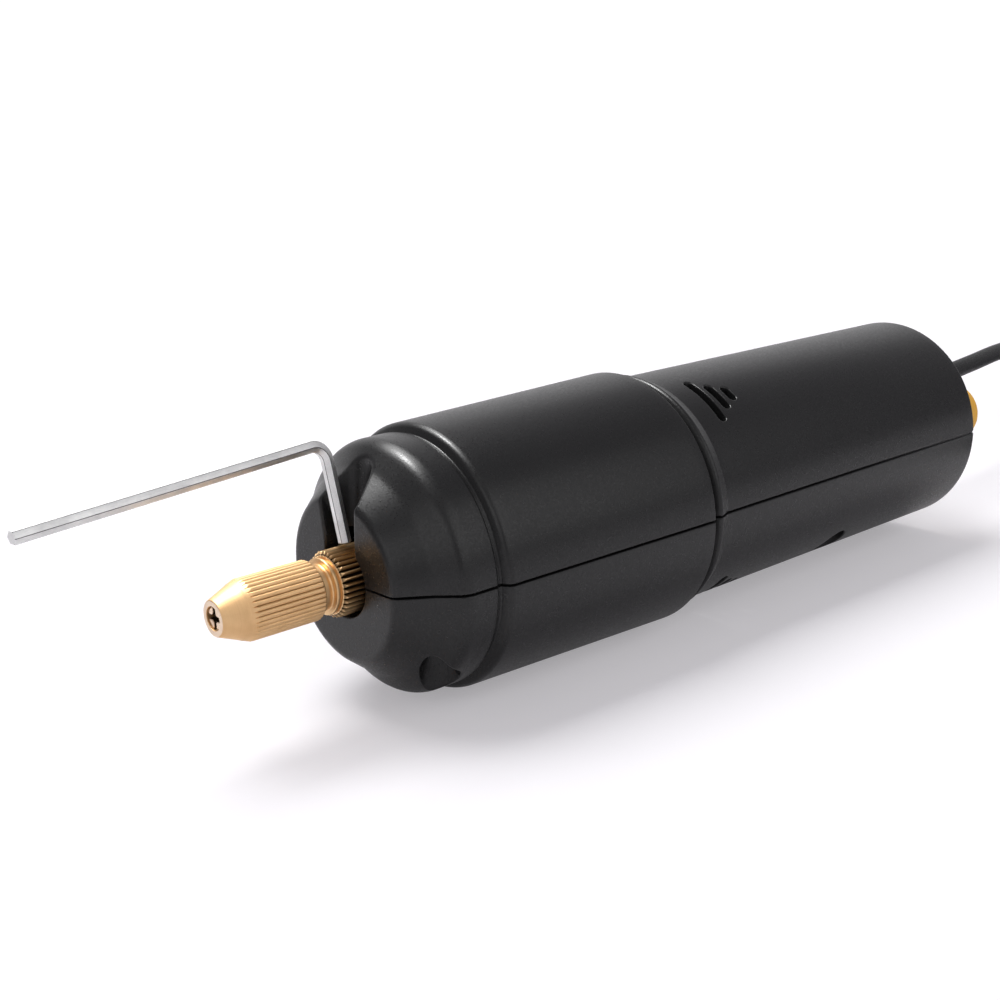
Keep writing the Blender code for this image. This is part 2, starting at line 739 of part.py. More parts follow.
def make_housing():
    """Two half shells that part on the axis, hollowed alike."""
    space = hollow()
    keep_standing(space)
    nose_hole = rod(
        "nose_hole", face - OVERRUN, face + NOSE_WALL + OVERRUN, nose_hole_radius, ROUND_STEPS, cutters
    )
    button_hole = rod(
        "button_hole",
        rear_face - REAR_WALL - OVERRUN,
        rear_face + OVERRUN,
        BUTTON_RADIUS + CLEARANCE,
        ROUND_STEPS,
        cutters,
        centre=(-BUTTON_OFFSET, BUTTON_HEIGHT),
    )
    relief_hole = rod(
        "relief_hole",
        rear_face - REAR_WALL - OVERRUN,
        rear_face + OVERRUN,
        RELIEF_RADIUS + CLEARANCE,
        ROUND_STEPS,
        cutters,
        centre=(CORD_OFFSET, CORD_HEIGHT),
    )
    relief_path = rod(
        "relief_path",
        rear_face - REAR_WALL - RELIEF_INSIDE - OVERRUN,
        rear_face - REAR_WALL - OVERRUN / 2,
        RELIEF_TIP_RADIUS + CLEARANCE,
        ROUND_STEPS,
        cutters,
        centre=(CORD_OFFSET, CORD_HEIGHT),
    )
    half_switch = SWITCH_SIZE / 2 + CLEARANCE
    front = switch_front_station()
    switch_pocket = block(
        "switch_pocket",
        (front - OVERRUN, -BUTTON_OFFSET - half_switch, BUTTON_HEIGHT - half_switch),
        (
            rear_face - REAR_WALL - OVERRUN / 2,
            -BUTTON_OFFSET + half_switch,
            BUTTON_HEIGHT + half_switch,
        ),
        cutters,
    )
    slot = slot_cutter()
    shells = {}
    for side in ("upper", "lower"):
        shell = outer_body(f"{side}_housing")
        boolean(shell, space)
        boolean(shell, half_space(f"{side}_half", side == "upper"), "INTERSECT")
        for opening in (nose_hole, button_hole, relief_hole, relief_path, switch_pocket):
            boolean(shell, opening)
        for vent in vent_cutters(side):
            boolean(shell, vent)
        shells[side] = shell
    boolean(shells["upper"], slot)
    reach = barrel_rear_radius + OVERRUN
    screw_hole = SCREW_RADIUS + CLEARANCE
    pilot_depth = SCREW_LENGTH - SCREW_SEAT_DEPTH + OVERRUN
    for name, (station, y) in pillar_places().items():
        pilot = upright(
            f"pilot_{name}", station, y, -OVERRUN, pilot_depth, screw_hole, SMALL_STEPS, cutters
        )
        boolean(shells["upper"], pilot)
        shank = upright(
            f"shank_{name}", station, y, -reach, OVERRUN, screw_hole, SMALL_STEPS, cutters
        )
        boolean(shells["lower"], shank)
        recess = upright(
            f"recess_{name}",
            station,
            y,
            -reach,
            -SCREW_SEAT_DEPTH,
            COUNTERBORE_RADIUS,
            SMALL_STEPS,
            cutters,
        )
        boolean(shells["lower"], recess)


def make_housing_screws():
    for name, (station, y) in pillar_places().items():
        head_top = -SCREW_SEAT_DEPTH - CLEARANCE
        head = upright(
            f"{name}_screw",
            station,
            y,
            head_top - SCREW_HEAD_HEIGHT,
            head_top,
            SCREW_HEAD_RADIUS,
            SMALL_STEPS,
            parts,
            zinc,
        )
        shank = upright(
            f"shank_of_{name}",
            station,
            y,
            head_top - SCREW_HEAD_HEIGHT / 2,
            head_top + SCREW_LENGTH,
            SCREW_RADIUS,
            SMALL_STEPS,
            cutters,
        )
        boolean(head, shank, "UNION")
        bottom = head_top - SCREW_HEAD_HEIGHT
        arm = CROSS_ARM_SHARE * SCREW_HEAD_RADIUS
        for turn, (dx, dy) in enumerate(((arm, CROSS_WIDTH / 2), (CROSS_WIDTH / 2, arm))):
            cross = block(
                f"cross_{name}_{turn}",
                (station - dx, y - dy, bottom - OVERRUN),
                (station + dx, y + dy, bottom + CROSS_DEPTH),
                cutters,
            )
            boolean(head, cross)
        smooth(head)


def make_collet_nut(parent):
    """A knurled ring with a cone in front, hollow for the collet and the chuck's thread."""
    bore = NECK_RADIUS + CLEARANCE
    knurl_outline = teeth(NUT_RADIUS, NUT_TEETH, TOOTH_SHARES, (0.0, KNURL_DEPTH))
    knurl = plate(
        "collet_nut",
        [knurl_outline, circle(bore, SMALL_STEPS)],
        NUT_KNURL_LENGTH - NUT_CHAMFER,
        parts,
        brass,
    )
    across_axis(knurl, nut_rear - (NUT_KNURL_LENGTH - NUT_CHAMFER) / 2)
    tip_hole = COLLET_TIP_RADIUS + CLEARANCE
    seat = COLLET_RADIUS + CLEARANCE
    cone = turned(
        "nut_nose",
        [
            (0, NUT_FACE_RADIUS),
            (NUT_NOSE_LENGTH, NUT_RADIUS - KNURL_DEPTH / 2),
            (NUT_NOSE_LENGTH + NUT_CHAMFER * 2, NUT_RADIUS - KNURL_DEPTH / 2),
            (NUT_NOSE_LENGTH + NUT_CHAMFER * 2, bore),
            (NUT_NOSE_LENGTH, bore),
            (COLLET_TAPER_LENGTH + COLLET_RECESS, seat),
            (0, tip_hole),
        ],
        ROUND_STEPS,
        cutters,
        closed=True,
    )
    boolean(knurl, cone, "UNION")
    chamfer = turned(
        "nut_rear_chamfer",
        [
            (nut_rear - NUT_CHAMFER, NUT_RADIUS + OVERRUN),
            (nut_rear + OVERRUN, NUT_RADIUS + OVERRUN),
            (nut_rear + OVERRUN, NUT_RADIUS - NUT_CHAMFER),
            (nut_rear, NUT_RADIUS - NUT_CHAMFER),
            (nut_rear - NUT_CHAMFER, NUT_RADIUS + CLEARANCE / 2),
        ],
        ROUND_STEPS,
        cutters,
        closed=True,
    )
    boolean(knurl, chamfer)
    knurl.parent = parent
    knurl.matrix_parent_inverse = parent.matrix_world.inverted()


def make_collet(parent):
    """A slit sleeve whose four jaws close when the nut draws its cone back."""
    front = COLLET_RECESS
    rear = front + COLLET_LENGTH
    collet = turned(
        "collet",
        [
            (front, COLLET_TIP_RADIUS),
            (front + COLLET_TAPER_LENGTH, COLLET_RADIUS),
            (rear, COLLET_RADIUS),
            (rear, COLLET_BORE_RADIUS),
            (front, COLLET_BORE_RADIUS),
        ],
        ROUND_STEPS,
        parts,
        brass,
        closed=True,
    )
    half = COLLET_SLIT_WIDTH / 2
    across = COLLET_RADIUS + OVERRUN
    for name, (dy, dz) in (("upright", (half, across)), ("level", (across, half))):
        slit = block(
            f"collet_slit_{name}",
            (front - OVERRUN, -dy, -dz),
            (front + COLLET_SLIT_LENGTH, dy, dz),
            cutters,
        )
        boolean(collet, slit)
    collet.parent = parent
    collet.matrix_parent_inverse = parent.matrix_world.inverted()


def make_chuck_body(parent):
    """The toothed collar on the shaft, with a flange, a neck and the nose that the nut screws on."""
    shaft_hole = SHAFT_RADIUS + CLEARANCE
    collet_hole = COLLET_RADIUS + CLEARANCE
    nose_front = NUT_NOSE_LENGTH + CLEARANCE
    collet_floor = COLLET_RECESS + COLLET_LENGTH + CLEARANCE
    shaft_floor = collar_rear - SHAFT_IN_COLLAR - CLEARANCE
    drops = (0.0, COLLAR_TOOTH_DEPTH)
    tooth_outline = teeth(COLLAR_RADIUS, COLLAR_TEETH, TOOTH_SHARES, drops)
    collar = plate(
        "chuck_body",
        [tooth_outline],
        COLLAR_LENGTH,
        parts,
        brass,
    )
    across_axis(collar, (collar_front + collar_rear) / 2)
    root = COLLAR_RADIUS - COLLAR_TOOTH_DEPTH
    body = turned(
        "chuck_core",
        [
            (nose_front, 0),
            (nose_front, NECK_RADIUS - NUT_CHAMFER),
            (nose_front + NUT_CHAMFER, NECK_RADIUS),
            (collar_front - FLANGE_LENGTH, NECK_RADIUS),
            (collar_front - FLANGE_LENGTH, FLANGE_RADIUS),
            (collar_front + FLANGE_LENGTH, FLANGE_RADIUS),
            (collar_front + FLANGE_LENGTH, 0),
        ],
        ROUND_STEPS,
        cutters,
    )
    boolean(collar, body, "UNION")
    chamfer = turned(
        "collar_chamfer",
        [
            (collar_front - COLLAR_CHAMFER, COLLAR_RADIUS + CLEARANCE),
            (collar_front + 2 * COLLAR_CHAMFER, COLLAR_RADIUS + CLEARANCE),
            (collar_front, root - COLLAR_CHAMFER / 2),
            (collar_front - COLLAR_CHAMFER, root - COLLAR_CHAMFER / 2),
        ],
        ROUND_STEPS,
        cutters,
        closed=True,
    )
    boolean(collar, chamfer)
    collet_bore = rod(
        "collet_bore", nose_front - OVERRUN, collet_floor, collet_hole, SMALL_STEPS, cutters
    )
    shaft_bore = rod(
        "shaft_bore", shaft_floor, collar_rear + OVERRUN, shaft_hole, SMALL_STEPS, cutters
    )
    screw_bore = upright(
        "set_screw_bore",
        set_screw_station,
        0,
        0,
        COLLAR_RADIUS + OVERRUN,
        SET_SCREW_RADIUS + CLEARANCE,
        SMALL_STEPS,
        cutters,
    )
    for bore in (collet_bore, shaft_bore, screw_bore):
        boolean(collar, bore)
    collar.parent = parent
    collar.matrix_parent_inverse = parent.matrix_world.inverted()


def make_set_screw(parent):
    low = SHAFT_RADIUS + CLEARANCE
    high = COLLAR_RADIUS - COLLAR_TOOTH_DEPTH - SET_SCREW_SUNK
    screw = upright(
        "set_screw",
        set_screw_station,
        0,
        low,
        high,
        SET_SCREW_RADIUS,
        SMALL_STEPS,
        parts,
        steel_dark,
    )
    socket = upright(
        "set_screw_socket",
        set_screw_station,
        0,
        high - SET_SCREW_SOCKET_DEPTH,
        high + OVERRUN,
        SET_SCREW_SOCKET / (2 * math.cos(math.radians(30))),
        6,
        cutters,
    )
    boolean(screw, socket)
    screw.parent = parent
    screw.matrix_parent_inverse = parent.matrix_world.inverted()


def make_hex_key():
    """A bent hexagon bar: its short arm stands over the set screw, its long arm reaches forward."""
    reach = KEY_LONG - key_radius
    height = KEY_SHORT - key_radius
    centre = Vector((-KEY_BEND, 0, height - KEY_BEND))
    bend = [
        centre + KEY_BEND * Vector((math.cos(a), 0, math.sin(a)))
        for a in (math.pi / 2 * k / 6 for k in range(7))
    ]
    points = [Vector((0, 0, 0)), *bend, Vector((-reach, 0, height))]
    key = tube("hex_key", points, key_radius, 1, parts, steel)
    key.location = AXIS_PLACE + Vector((set_screw_station, 0, COLLAR_RADIUS + KEY_ABOVE_COLLAR))
    key.rotation_euler = key_turn.to_euler()


def motor_round():
    """The motor's outline: round, with a flat above and below."""
    flat = MOTOR_FLAT_ACROSS / 2
    edge = math.acos(flat / MOTOR_RADIUS)
    points = []
    for start in (edge, math.pi + edge):
        sweep = math.pi - 2 * edge
        for k in range(11):
            angle = start + sweep * k / 10
            points.append((MOTOR_RADIUS * math.cos(angle), MOTOR_RADIUS * math.sin(angle)))
    return points


def make_motor_can():
    """A drawn steel cup with a boss for the front bush, open at the rear for the end cap."""
    can_length = MOTOR_LENGTH - END_CAP_LENGTH - CLEARANCE
    can = plate("motor_can", [motor_round()], can_length, parts, steel)
    across_axis(can, motor_front + can_length / 2)
    boss = rod(
        "motor_boss",
        motor_front - MOTOR_BOSS_LENGTH,
        motor_front + MOTOR_WALL / 2,
        MOTOR_BOSS_RADIUS,
        ROUND_STEPS,
        cutters,
    )
    boolean(can, boss, "UNION")
    inside = motor_round()
    shrink = 1 - MOTOR_WALL / (MOTOR_FLAT_ACROSS / 2)
    hollowed = plate(
        "motor_space", [[(x * shrink, y * shrink) for x, y in inside]], can_length, cutters
    )
    across_axis(hollowed, motor_front + MOTOR_WALL + can_length / 2)
    boolean(can, hollowed)
    bush_bore = rod(
        "front_bush_bore",
        motor_front - MOTOR_BOSS_LENGTH - OVERRUN,
        motor_front + MOTOR_WALL + OVERRUN,
        BUSH_RADIUS + CLEARANCE,
        SMALL_STEPS,
        cutters,
    )
    boolean(can, bush_bore)


def make_end_cap():
    """The moulded rear of the motor, with a pocket for the rear bush and slits for the terminals."""
    front = motor_rear - END_CAP_LENGTH
    cap = plate("motor_end_cap", [motor_round()], END_CAP_LENGTH, parts, nylon)
    across_axis(cap, front + END_CAP_LENGTH / 2)
    room = rod(
        "end_cap_room",
        front - OVERRUN,
        front + END_CAP_LENGTH / 2,
        MOTOR_FLAT_ACROSS / 2 - MOTOR_WALL,
        ROUND_STEPS,
        cutters,
    )
    boolean(cap, room)
    pocket = rod(
        "rear_bush_pocket",
        front,
        motor_rear - MOTOR_WALL + OVERRUN,
        BUSH_RADIUS + CLEARANCE,
        SMALL_STEPS,
        cutters,
    )
    boolean(cap, pocket)
    shaft_way = rod(
        "rear_shaft_way", front, motor_rear + OVERRUN, SHAFT_RADIUS + CLEARANCE, SMALL_STEPS, cutters
    )
    boolean(cap, shaft_way)
    for flank in (-1, 1):
        y = flank * TERMINAL_SPREAD
        slit = block(
            f"terminal_slit_{flank}",
            (
                front,
                y - TERMINAL_THICKNESS / 2 - CLEARANCE,
                -TERMINAL_WIDTH / 2 - CLEARANCE,
            ),
            (
                motor_rear + OVERRUN,
                y + TERMINAL_THICKNESS / 2 + CLEARANCE,
                TERMINAL_WIDTH / 2 + CLEARANCE,
            ),
            cutters,
        )
        boolean(cap, slit)


def make_bushes():
    bore = SHAFT_RADIUS + CLEARANCE
    front = motor_front - MOTOR_BOSS_LENGTH + CLEARANCE
    sleeve("front_bush", front, front + BUSH_LENGTH, BUSH_RADIUS, bore, SMALL_STEPS, parts, bronze)
    rear = motor_rear - MOTOR_WALL + OVERRUN - CLEARANCE
    sleeve("rear_bush", rear - BUSH_LENGTH, rear, BUSH_RADIUS, bore, SMALL_STEPS, parts, bronze)


def magnet_bore():
    return MOTOR_FLAT_ACROSS / 2 - MOTOR_WALL - MAGNET_THICKNESS


def armature_middle():
    return motor_front + before_core + armature_length / 2


def make_magnets():
    """Two arched ferrite magnets that line the can on the near and the far side."""
    outer = MOTOR_FLAT_ACROSS / 2 - MOTOR_WALL - CLEARANCE
    inner = magnet_bore()
    half = math.radians(MAGNET_SPAN_DEG) / 2
    for name, middle_angle in (("magnet_near", -math.pi / 2), ("magnet_far", math.pi / 2)):
        sweep = [middle_angle - half + 2 * half * k / 10 for k in range(11)]
        outline = [(outer * math.cos(a), outer * math.sin(a)) for a in sweep]
        outline += [(inner * math.cos(a), inner * math.sin(a)) for a in reversed(sweep)]
        magnet = plate(name, [outline], magnet_length, parts, ferrite)
        across_axis(magnet, armature_middle())


def make_shaft(parent):
    front = collar_rear - SHAFT_IN_COLLAR
    shaft = rod(
        "motor_shaft", front, motor_rear + SHAFT_REAR_STUB, SHAFT_RADIUS, SMALL_STEPS, parts, steel
    )
    shaft.parent = parent
    shaft.matrix_parent_inverse = parent.matrix_world.inverted()


def pole_outline(angle_middle, rotor_radius):
    """One pole: a stem from the hub and an arched tip under the magnets."""
    half = math.radians(POLE_SPAN_DEG) / 2
    stem = POLE_STEM_WIDTH / 2
    under = rotor_radius - POLE_TIP_THICKNESS
    tips = [-half + 2 * half * k / 6 for k in range(7)]
    outline = [(rotor_radius * math.cos(a), rotor_radius * math.sin(a)) for a in tips]
    outline += [
        (under * math.cos(half), under * math.sin(half)),
        (math.sqrt(under**2 - stem**2), stem),
        (math.sqrt(HUB_RADIUS**2 - stem**2), stem),
    ]
    outline += [
        (math.sqrt(HUB_RADIUS**2 - stem**2), -stem),
        (math.sqrt(under**2 - stem**2), -stem),
        (under * math.cos(half), -under * math.sin(half)),
    ]
    c, s = math.cos(angle_middle), math.sin(angle_middle)
    return [(x * c - y * s, x * s + y * c) for x, y in outline]


def make_armature(parent):
    """A three-pole core on the shaft, with one coil round each pole."""
    rotor_radius = magnet_bore() - AIR_GAP
    core = sleeve(
        "armature_core",
        armature_middle() - armature_length / 2,
        armature_middle() + armature_length / 2,
        HUB_RADIUS + CLEARANCE,
        SHAFT_RADIUS + CLEARANCE,
        SMALL_STEPS,
        parts,
        steel_dark,
    )
    members = [core]
    for k in range(3):
        angle = math.tau * k / 3
        pole = plate(
            f"pole_{k}", [pole_outline(angle, rotor_radius)], armature_length - CLEARANCE, cutters
        )
        across_axis(pole, armature_middle())
        boolean(core, pole, "UNION")
        members.append(make_winding(k, angle, rotor_radius))
    members.append(make_commutator())
    for member in members:
        member.parent = parent
        member.matrix_parent_inverse = parent.matrix_world.inverted()


def make_winding(k, angle, rotor_radius):
    """A coil of copper wire: a ring of rectangular section round one pole's stem."""
    under = rotor_radius - POLE_TIP_THICKNESS
    low = HUB_RADIUS + CLEARANCE + CLEARANCE
    half_span = math.radians(POLE_SPAN_DEG) / 2
    stem = POLE_STEM_WIDTH / 2
    tip = Vector((under * math.cos(half_span), under * math.sin(half_span)))
    foot = Vector((math.sqrt(under**2 - stem**2), stem))
    share = (tip.y - WINDING_WIDTH / 2) / (tip.y - foot.y)
    high = tip.lerp(foot, share).x - CLEARANCE
    slot_x = stem + CLEARANCE
    slot_z = armature_length / 2 + CLEARANCE
    outer_x = WINDING_WIDTH / 2
    outer_z = slot_z + WINDING_OVERHANG
    outline = [(-outer_z, -outer_x), (outer_z, -outer_x), (outer_z, outer_x), (-outer_z, outer_x)]
    window = [(-slot_z, -slot_x), (slot_z, -slot_x), (slot_z, slot_x), (-slot_z, slot_x)]
    coil = plate(f"winding_{k + 1}", [outline, window], high - low, parts, copper)
    # The plate's flat sides face out along the pole, which lies at this angle in the plane of across_axis.
    out = Vector((0, math.sin(angle), -math.cos(angle)))
    along = Vector((1, 0, 0))
    turn = Matrix((along, out.cross(along), out)).transposed()
    coil.rotation_euler = turn.to_euler()
    coil.location = AXIS_PLACE + Vector((armature_middle(), 0, 0)) + out * ((low + high) / 2)
    return coil


def commutator_front():
    return armature_middle() + armature_length / 2 + WINDING_OVERHANG + CLEARANCE + CLEARANCE


def make_commutator():
    return sleeve(
        "commutator",
        commutator_front(),
        commutator_front() + COMMUTATOR_LENGTH,
        COMMUTATOR_RADIUS,
        SHAFT_RADIUS + CLEARANCE,
        12,
        parts,
        copper,
    )


def make_brush_gear():
    """A brush on each side of the commutator, carried by its terminal."""
    brush_middle = commutator_front() + COMMUTATOR_LENGTH / 2
    for name, flank in (("near", -1), ("far", 1)):
        inner = COMMUTATOR_RADIUS + CLEARANCE
        outer = inner + BRUSH_LENGTH
        y_low, y_high = sorted((flank * inner, flank * outer))
        half = BRUSH_WIDTH / 2
        block(
            f"brush_{name}",
            (brush_middle - half, y_low, -half),
            (brush_middle + half, y_high, half),
            parts,
            carbon,
        )
        y = flank * TERMINAL_SPREAD
        blade = block(
            f"terminal_{name}",
            (
                motor_rear - END_CAP_LENGTH / 2,
                y - TERMINAL_THICKNESS / 2,
                -TERMINAL_WIDTH / 2,
            ),
            (motor_rear + TERMINAL_LENGTH, y + TERMINAL_THICKNESS / 2, TERMINAL_WIDTH / 2),
            parts,
            brass,
        )
        arm_low, arm_high = sorted((flank * (outer + CLEARANCE), y + flank * TERMINAL_THICKNESS / 2))
        arm = block(
            f"brush_arm_{name}",
            (brush_middle - half, arm_low, -TERMINAL_WIDTH / 2),
            (brush_middle - half + TERMINAL_THICKNESS, arm_high, TERMINAL_WIDTH / 2),
            cutters,
        )
        riser = block(
            f"terminal_riser_{name}",
            (
                brush_middle - half,
                y - TERMINAL_THICKNESS / 2,
                -TERMINAL_WIDTH / 2,
            ),
            (
                motor_rear - END_CAP_LENGTH / 2 + TERMINAL_THICKNESS,
                y + TERMINAL_THICKNESS / 2,
                TERMINAL_WIDTH / 2,
            ),
            cutters,
        )
        boolean(blade, riser, "UNION")
        boolean(blade, arm, "UNION")


def make_switch():
    """A bought-in push switch behind the rear wall, its plunger in the yellow button."""
    front = switch_front_station()
    rear = front + SWITCH_LENGTH
    half = SWITCH_SIZE / 2
    body = block(
        "switch_body",
        (front, -BUTTON_OFFSET - half, BUTTON_HEIGHT - half),
        (rear, -BUTTON_OFFSET + half, BUTTON_HEIGHT + half),
        parts,
        nylon,
        bevel=CLEARANCE,
    )
    centre = (-BUTTON_OFFSET, BUTTON_HEIGHT)
    plunger_front = rear - PLUNGER_DEPTH + BUTTON_TRAVEL
    bore = rod(
        "plunger_bore",
        plunger_front - BUTTON_TRAVEL - CLEARANCE,
        rear + OVERRUN,
        PLUNGER_RADIUS + CLEARANCE,
        SMALL_STEPS,
        cutters,
        centre=centre,
    )
    boolean(body, bore)
    for k, flank in enumerate((-1, 1)):
        y = -BUTTON_OFFSET + flank * SWITCH_PIN_SPREAD
        pin = block(
            f"switch_pin_{k}",
            (front - SWITCH_PIN_LENGTH, y - SWITCH_PIN / 2, BUTTON_HEIGHT - SWITCH_PIN / 2),
            (front + SWITCH_PIN, y + SWITCH_PIN / 2, BUTTON_HEIGHT + SWITCH_PIN / 2),
            cutters,
        )
        boolean(body, pin, "UNION")
    plunger_rear = rear_face - REAR_WALL + BUTTON_SOCKET_DEPTH
    plunger = rod(
        "switch_plunger", plunger_front, plunger_rear, PLUNGER_RADIUS, SMALL_STEPS, parts, nylon, centre
    )
    cap_front = rear + BUTTON_TRAVEL + CLEARANCE
    cap_rear = rear_face + BUTTON_PROUD
    outline = rounded(
        [
            (cap_front, 0, 0),
            (cap_front, BUTTON_RADIUS, 0),
            (cap_rear - BUTTON_CROWN, BUTTON_RADIUS, BUTTON_DOME),
            (cap_rear, 0, 0),
        ]
    )
    button = turned("power_button", outline, ROUND_STEPS, parts, yellow, centre)
    socket = rod(
        "button_socket",
        cap_front - OVERRUN,
        plunger_rear + CLEARANCE,
        PLUNGER_RADIUS + CLEARANCE,
        SMALL_STEPS,
        cutters,
        centre=centre,
    )
    boolean(button, socket)
    axis = bpy.data.objects.new("button_axis", None)
    axis.location = AXIS_PLACE + Vector((rear_face, *centre))
    parts.objects.link(axis)
    bpy.context.view_layer.update()
    for piece in (plunger, button):
        piece.parent = axis
        piece.matrix_parent_inverse = axis.matrix_world.inverted()


def make_strain_relief():
    """A moulded sleeve with a flange behind the rear wall and ribs that taper over the lead."""
    inside = rear_face - REAR_WALL - RELIEF_INSIDE
    flange_rear = rear_face - REAR_WALL - CLEARANCE
    flange_front = flange_rear - RELIEF_FLANGE_LENGTH
    end = rear_face + RELIEF_LENGTH
    corners = [
        (inside, 0),
        (inside, RELIEF_TIP_RADIUS),
        (flange_front, RELIEF_TIP_RADIUS),
        (flange_front, RELIEF_FLANGE_RADIUS),
        (flange_rear, RELIEF_FLANGE_RADIUS),
        (flange_rear, RELIEF_RADIUS),
        (rear_face + CLEARANCE, RELIEF_RADIUS),
    ]
    pitch = (end - rear_face - CLEARANCE) / RELIEF_RIBS
    for k in range(RELIEF_RIBS):
        share = (k + 1) / RELIEF_RIBS
        radius = RELIEF_RADIUS + (RELIEF_TIP_RADIUS - RELIEF_RADIUS) * share
        start = rear_face + CLEARANCE + k * pitch
        waist = radius - RELIEF_RIB_DEPTH * (k < RELIEF_RIBS - 1)
        for share, rib_radius in zip(RELIEF_RIB_SHARES, (radius, waist, waist, radius)):
            corners.append((start + share * pitch, rib_radius))
    corners += [(end, 0)]
    turned("strain_relief", corners, SMALL_STEPS, parts, rubber, (CORD_OFFSET, CORD_HEIGHT))


def world(station, y, z):
    return AXIS_PLACE + Vector((station, y, z))


def wire(name, start, from_rear, from_motor, end, material):
    """A thin wire between two ends, led past the stations of its route."""
    route = [world(rear_face - ahead, y, z) for ahead, y, z in from_rear]
    route += [world(motor_rear + behind, y, z) for behind, y, z in from_motor]
    points = smooth_run([start, *route, end], WIRE_POINT_SPACING)
    tube(name, points, WIRE_RADIUS, 1, parts, material)


def make_wires():
    """The lead's two cores and the link from the switch to the motor."""
    inside = rear_face - REAR_WALL - RELIEF_INSIDE - CLEARANCE
    core = WIRE_RADIUS + CLEARANCE / 2
    upper_core = world(inside, CORD_OFFSET, CORD_HEIGHT + core)
    lower_core = world(inside, CORD_OFFSET, CORD_HEIGHT - core)
    pin_end = switch_front_station() - SWITCH_PIN_LENGTH - CLEARANCE
    outer_pin = world(pin_end, -BUTTON_OFFSET - SWITCH_PIN_SPREAD, BUTTON_HEIGHT)
    inner_pin = world(pin_end, -BUTTON_OFFSET + SWITCH_PIN_SPREAD, BUTTON_HEIGHT)
    terminal = motor_rear + TERMINAL_LENGTH + CLEARANCE
    near_terminal = world(terminal, -TERMINAL_SPREAD, 0)
    far_terminal = world(terminal, TERMINAL_SPREAD, 0)
    wire(
        "return_wire", lower_core, RETURN_FROM_REAR, RETURN_FROM_MOTOR, far_terminal, wire_black
    )
    wire("supply_wire", upper_core, SUPPLY_FROM_REAR, (), inner_pin, wire_red)
    wire(
        "switched_wire", outer_pin, SWITCHED_FROM_REAR, SWITCHED_FROM_MOTOR, near_terminal, wire_red
    )


def rear_place():
    return AXIS_PLACE.x + rear_face


def lead_points():
    start = world(rear_face + RELIEF_LENGTH + CLEARANCE, CORD_OFFSET, CORD_HEIGHT)
    straight = start + Vector((2 * CORD_DIAMETER, 0, 0))
    top = CORD_DIAMETER / 2 + (COIL_LAYERS - 1) * COIL_PITCH
    route = [Vector((rear_place() + behind, y, z)) for behind, y, z in CORD_ROUTE]
    entry = Vector((rear_place() + COIL_BEHIND, COIL_ACROSS, top))
    return smooth_run([start, straight, *route, entry], CORD_POINT_SPACING)


def coil_mean_radius():
    spare = CORD_LENGTH - run_length(lead_points()) - TAIL_LENGTH - 2 * CORD_DIAMETER
    return spare / (COIL_TURNS * math.tau)


def coil_centre():
    outer = coil_mean_radius() + COIL_PITCH * COIL_TURNS / COIL_LAYERS / 2
    x = rear_place() + COIL_BEHIND + CLEARANCE + CORD_DIAMETER
    return Vector((x, COIL_ACROSS - outer, 0)), outer


def smoothstep(t):
    t = min(1.0, max(0.0, t))
    return t * t * (3 - 2 * t)


def tie_lift(angle):
    """How far the coil rises where it crosses the tie, which is on its far side from the drill."""
    away = abs(math.atan2(math.sin(angle), math.cos(angle)))
    flat, foot = math.radians(TIE_RISE_DEG[0]), math.radians(TIE_RISE_DEG[1])
    return (TIE_THICKNESS + CLEARANCE) * (1 - smoothstep((away - flat) / (foot - flat)))


def coil_points():
    """The wound lead from its top outer end to its bottom outer end, seen clockwise from above.

    The radius falls and rises at a steady rate, layer by layer, and the tube drops a layer in
    the half turn round each reversal.
    """
    centre, outer = coil_centre()
    layer_turns = COIL_TURNS / COIL_LAYERS
    count = round(COIL_TURNS * COIL_POINTS_PER_TURN)
    points = []
    for i in range(count + 1):
        turns = COIL_TURNS * i / count
        angle = math.pi / 2 - math.tau * turns
        phase = turns % (2 * layer_turns)
        inward = min(phase, 2 * layer_turns - phase)
        changes = (turns - k * layer_turns for k in range(1, COIL_LAYERS))
        dropped = sum(smoothstep(past / HALF_TURN + HALF_TURN) for past in changes)
        radius = outer - COIL_PITCH * inward
        height = CORD_DIAMETER / 2 + (COIL_LAYERS - 1 - dropped) * COIL_PITCH + tie_lift(angle)
        points.append(centre + Vector((radius * math.cos(angle), radius * math.sin(angle), height)))
    start = points[0] - Vector((CORD_DIAMETER, 0, 0))
    end = points[-1] - Vector((CORD_DIAMETER, 0, 0))
    return [start, *points, end]


def least_gap(points, per_turn):
    """The least space between two turns, from the distances between points over half a turn apart."""
    least = math.inf
    for i, a in enumerate(points):
        for b in points[i + per_turn // 2 :]:
            least = min(least, (a - b).length)
    return least - CORD_DIAMETER


def make_lead():
    lead = lead_points()
    tube("cord_lead", lead, CORD_DIAMETER / 2, 2, parts, cable)
    coil = coil_points()
    tube("cord_coil", coil, CORD_DIAMETER / 2, 1, parts, cable)
    gap = least_gap(coil, COIL_POINTS_PER_TURN)
    print(f"coil: least gap to itself {gap / MM:.2f} mm, across {2 * coil_mean_radius() / MM:.1f} mm")
    start = coil[-1] - Vector((CLEARANCE, 0, 0))
    end = Vector((start.x - TAIL_LENGTH, start.y, PLUG_HEIGHT / 2))
    tail = []
    for k in range(TAIL_POINTS):
        share = k / (TAIL_POINTS - 1)
        point = start.lerp(end, share)
        middle_share = (share - TAIL_FLAT_SHARE) / (1 - 2 * TAIL_FLAT_SHARE)
        point.z = start.z + (end.z - start.z) * smoothstep(middle_share)
        tail.append(point)
    tube("cord_tail", tail, CORD_DIAMETER / 2, 2, parts, cable)
    total = run_length(lead) + run_length(coil) + run_length(tail)
    print(f"lead: {total / MM:.0f} mm from the strain relief to the plug")
    make_tie()
    make_plug(end)


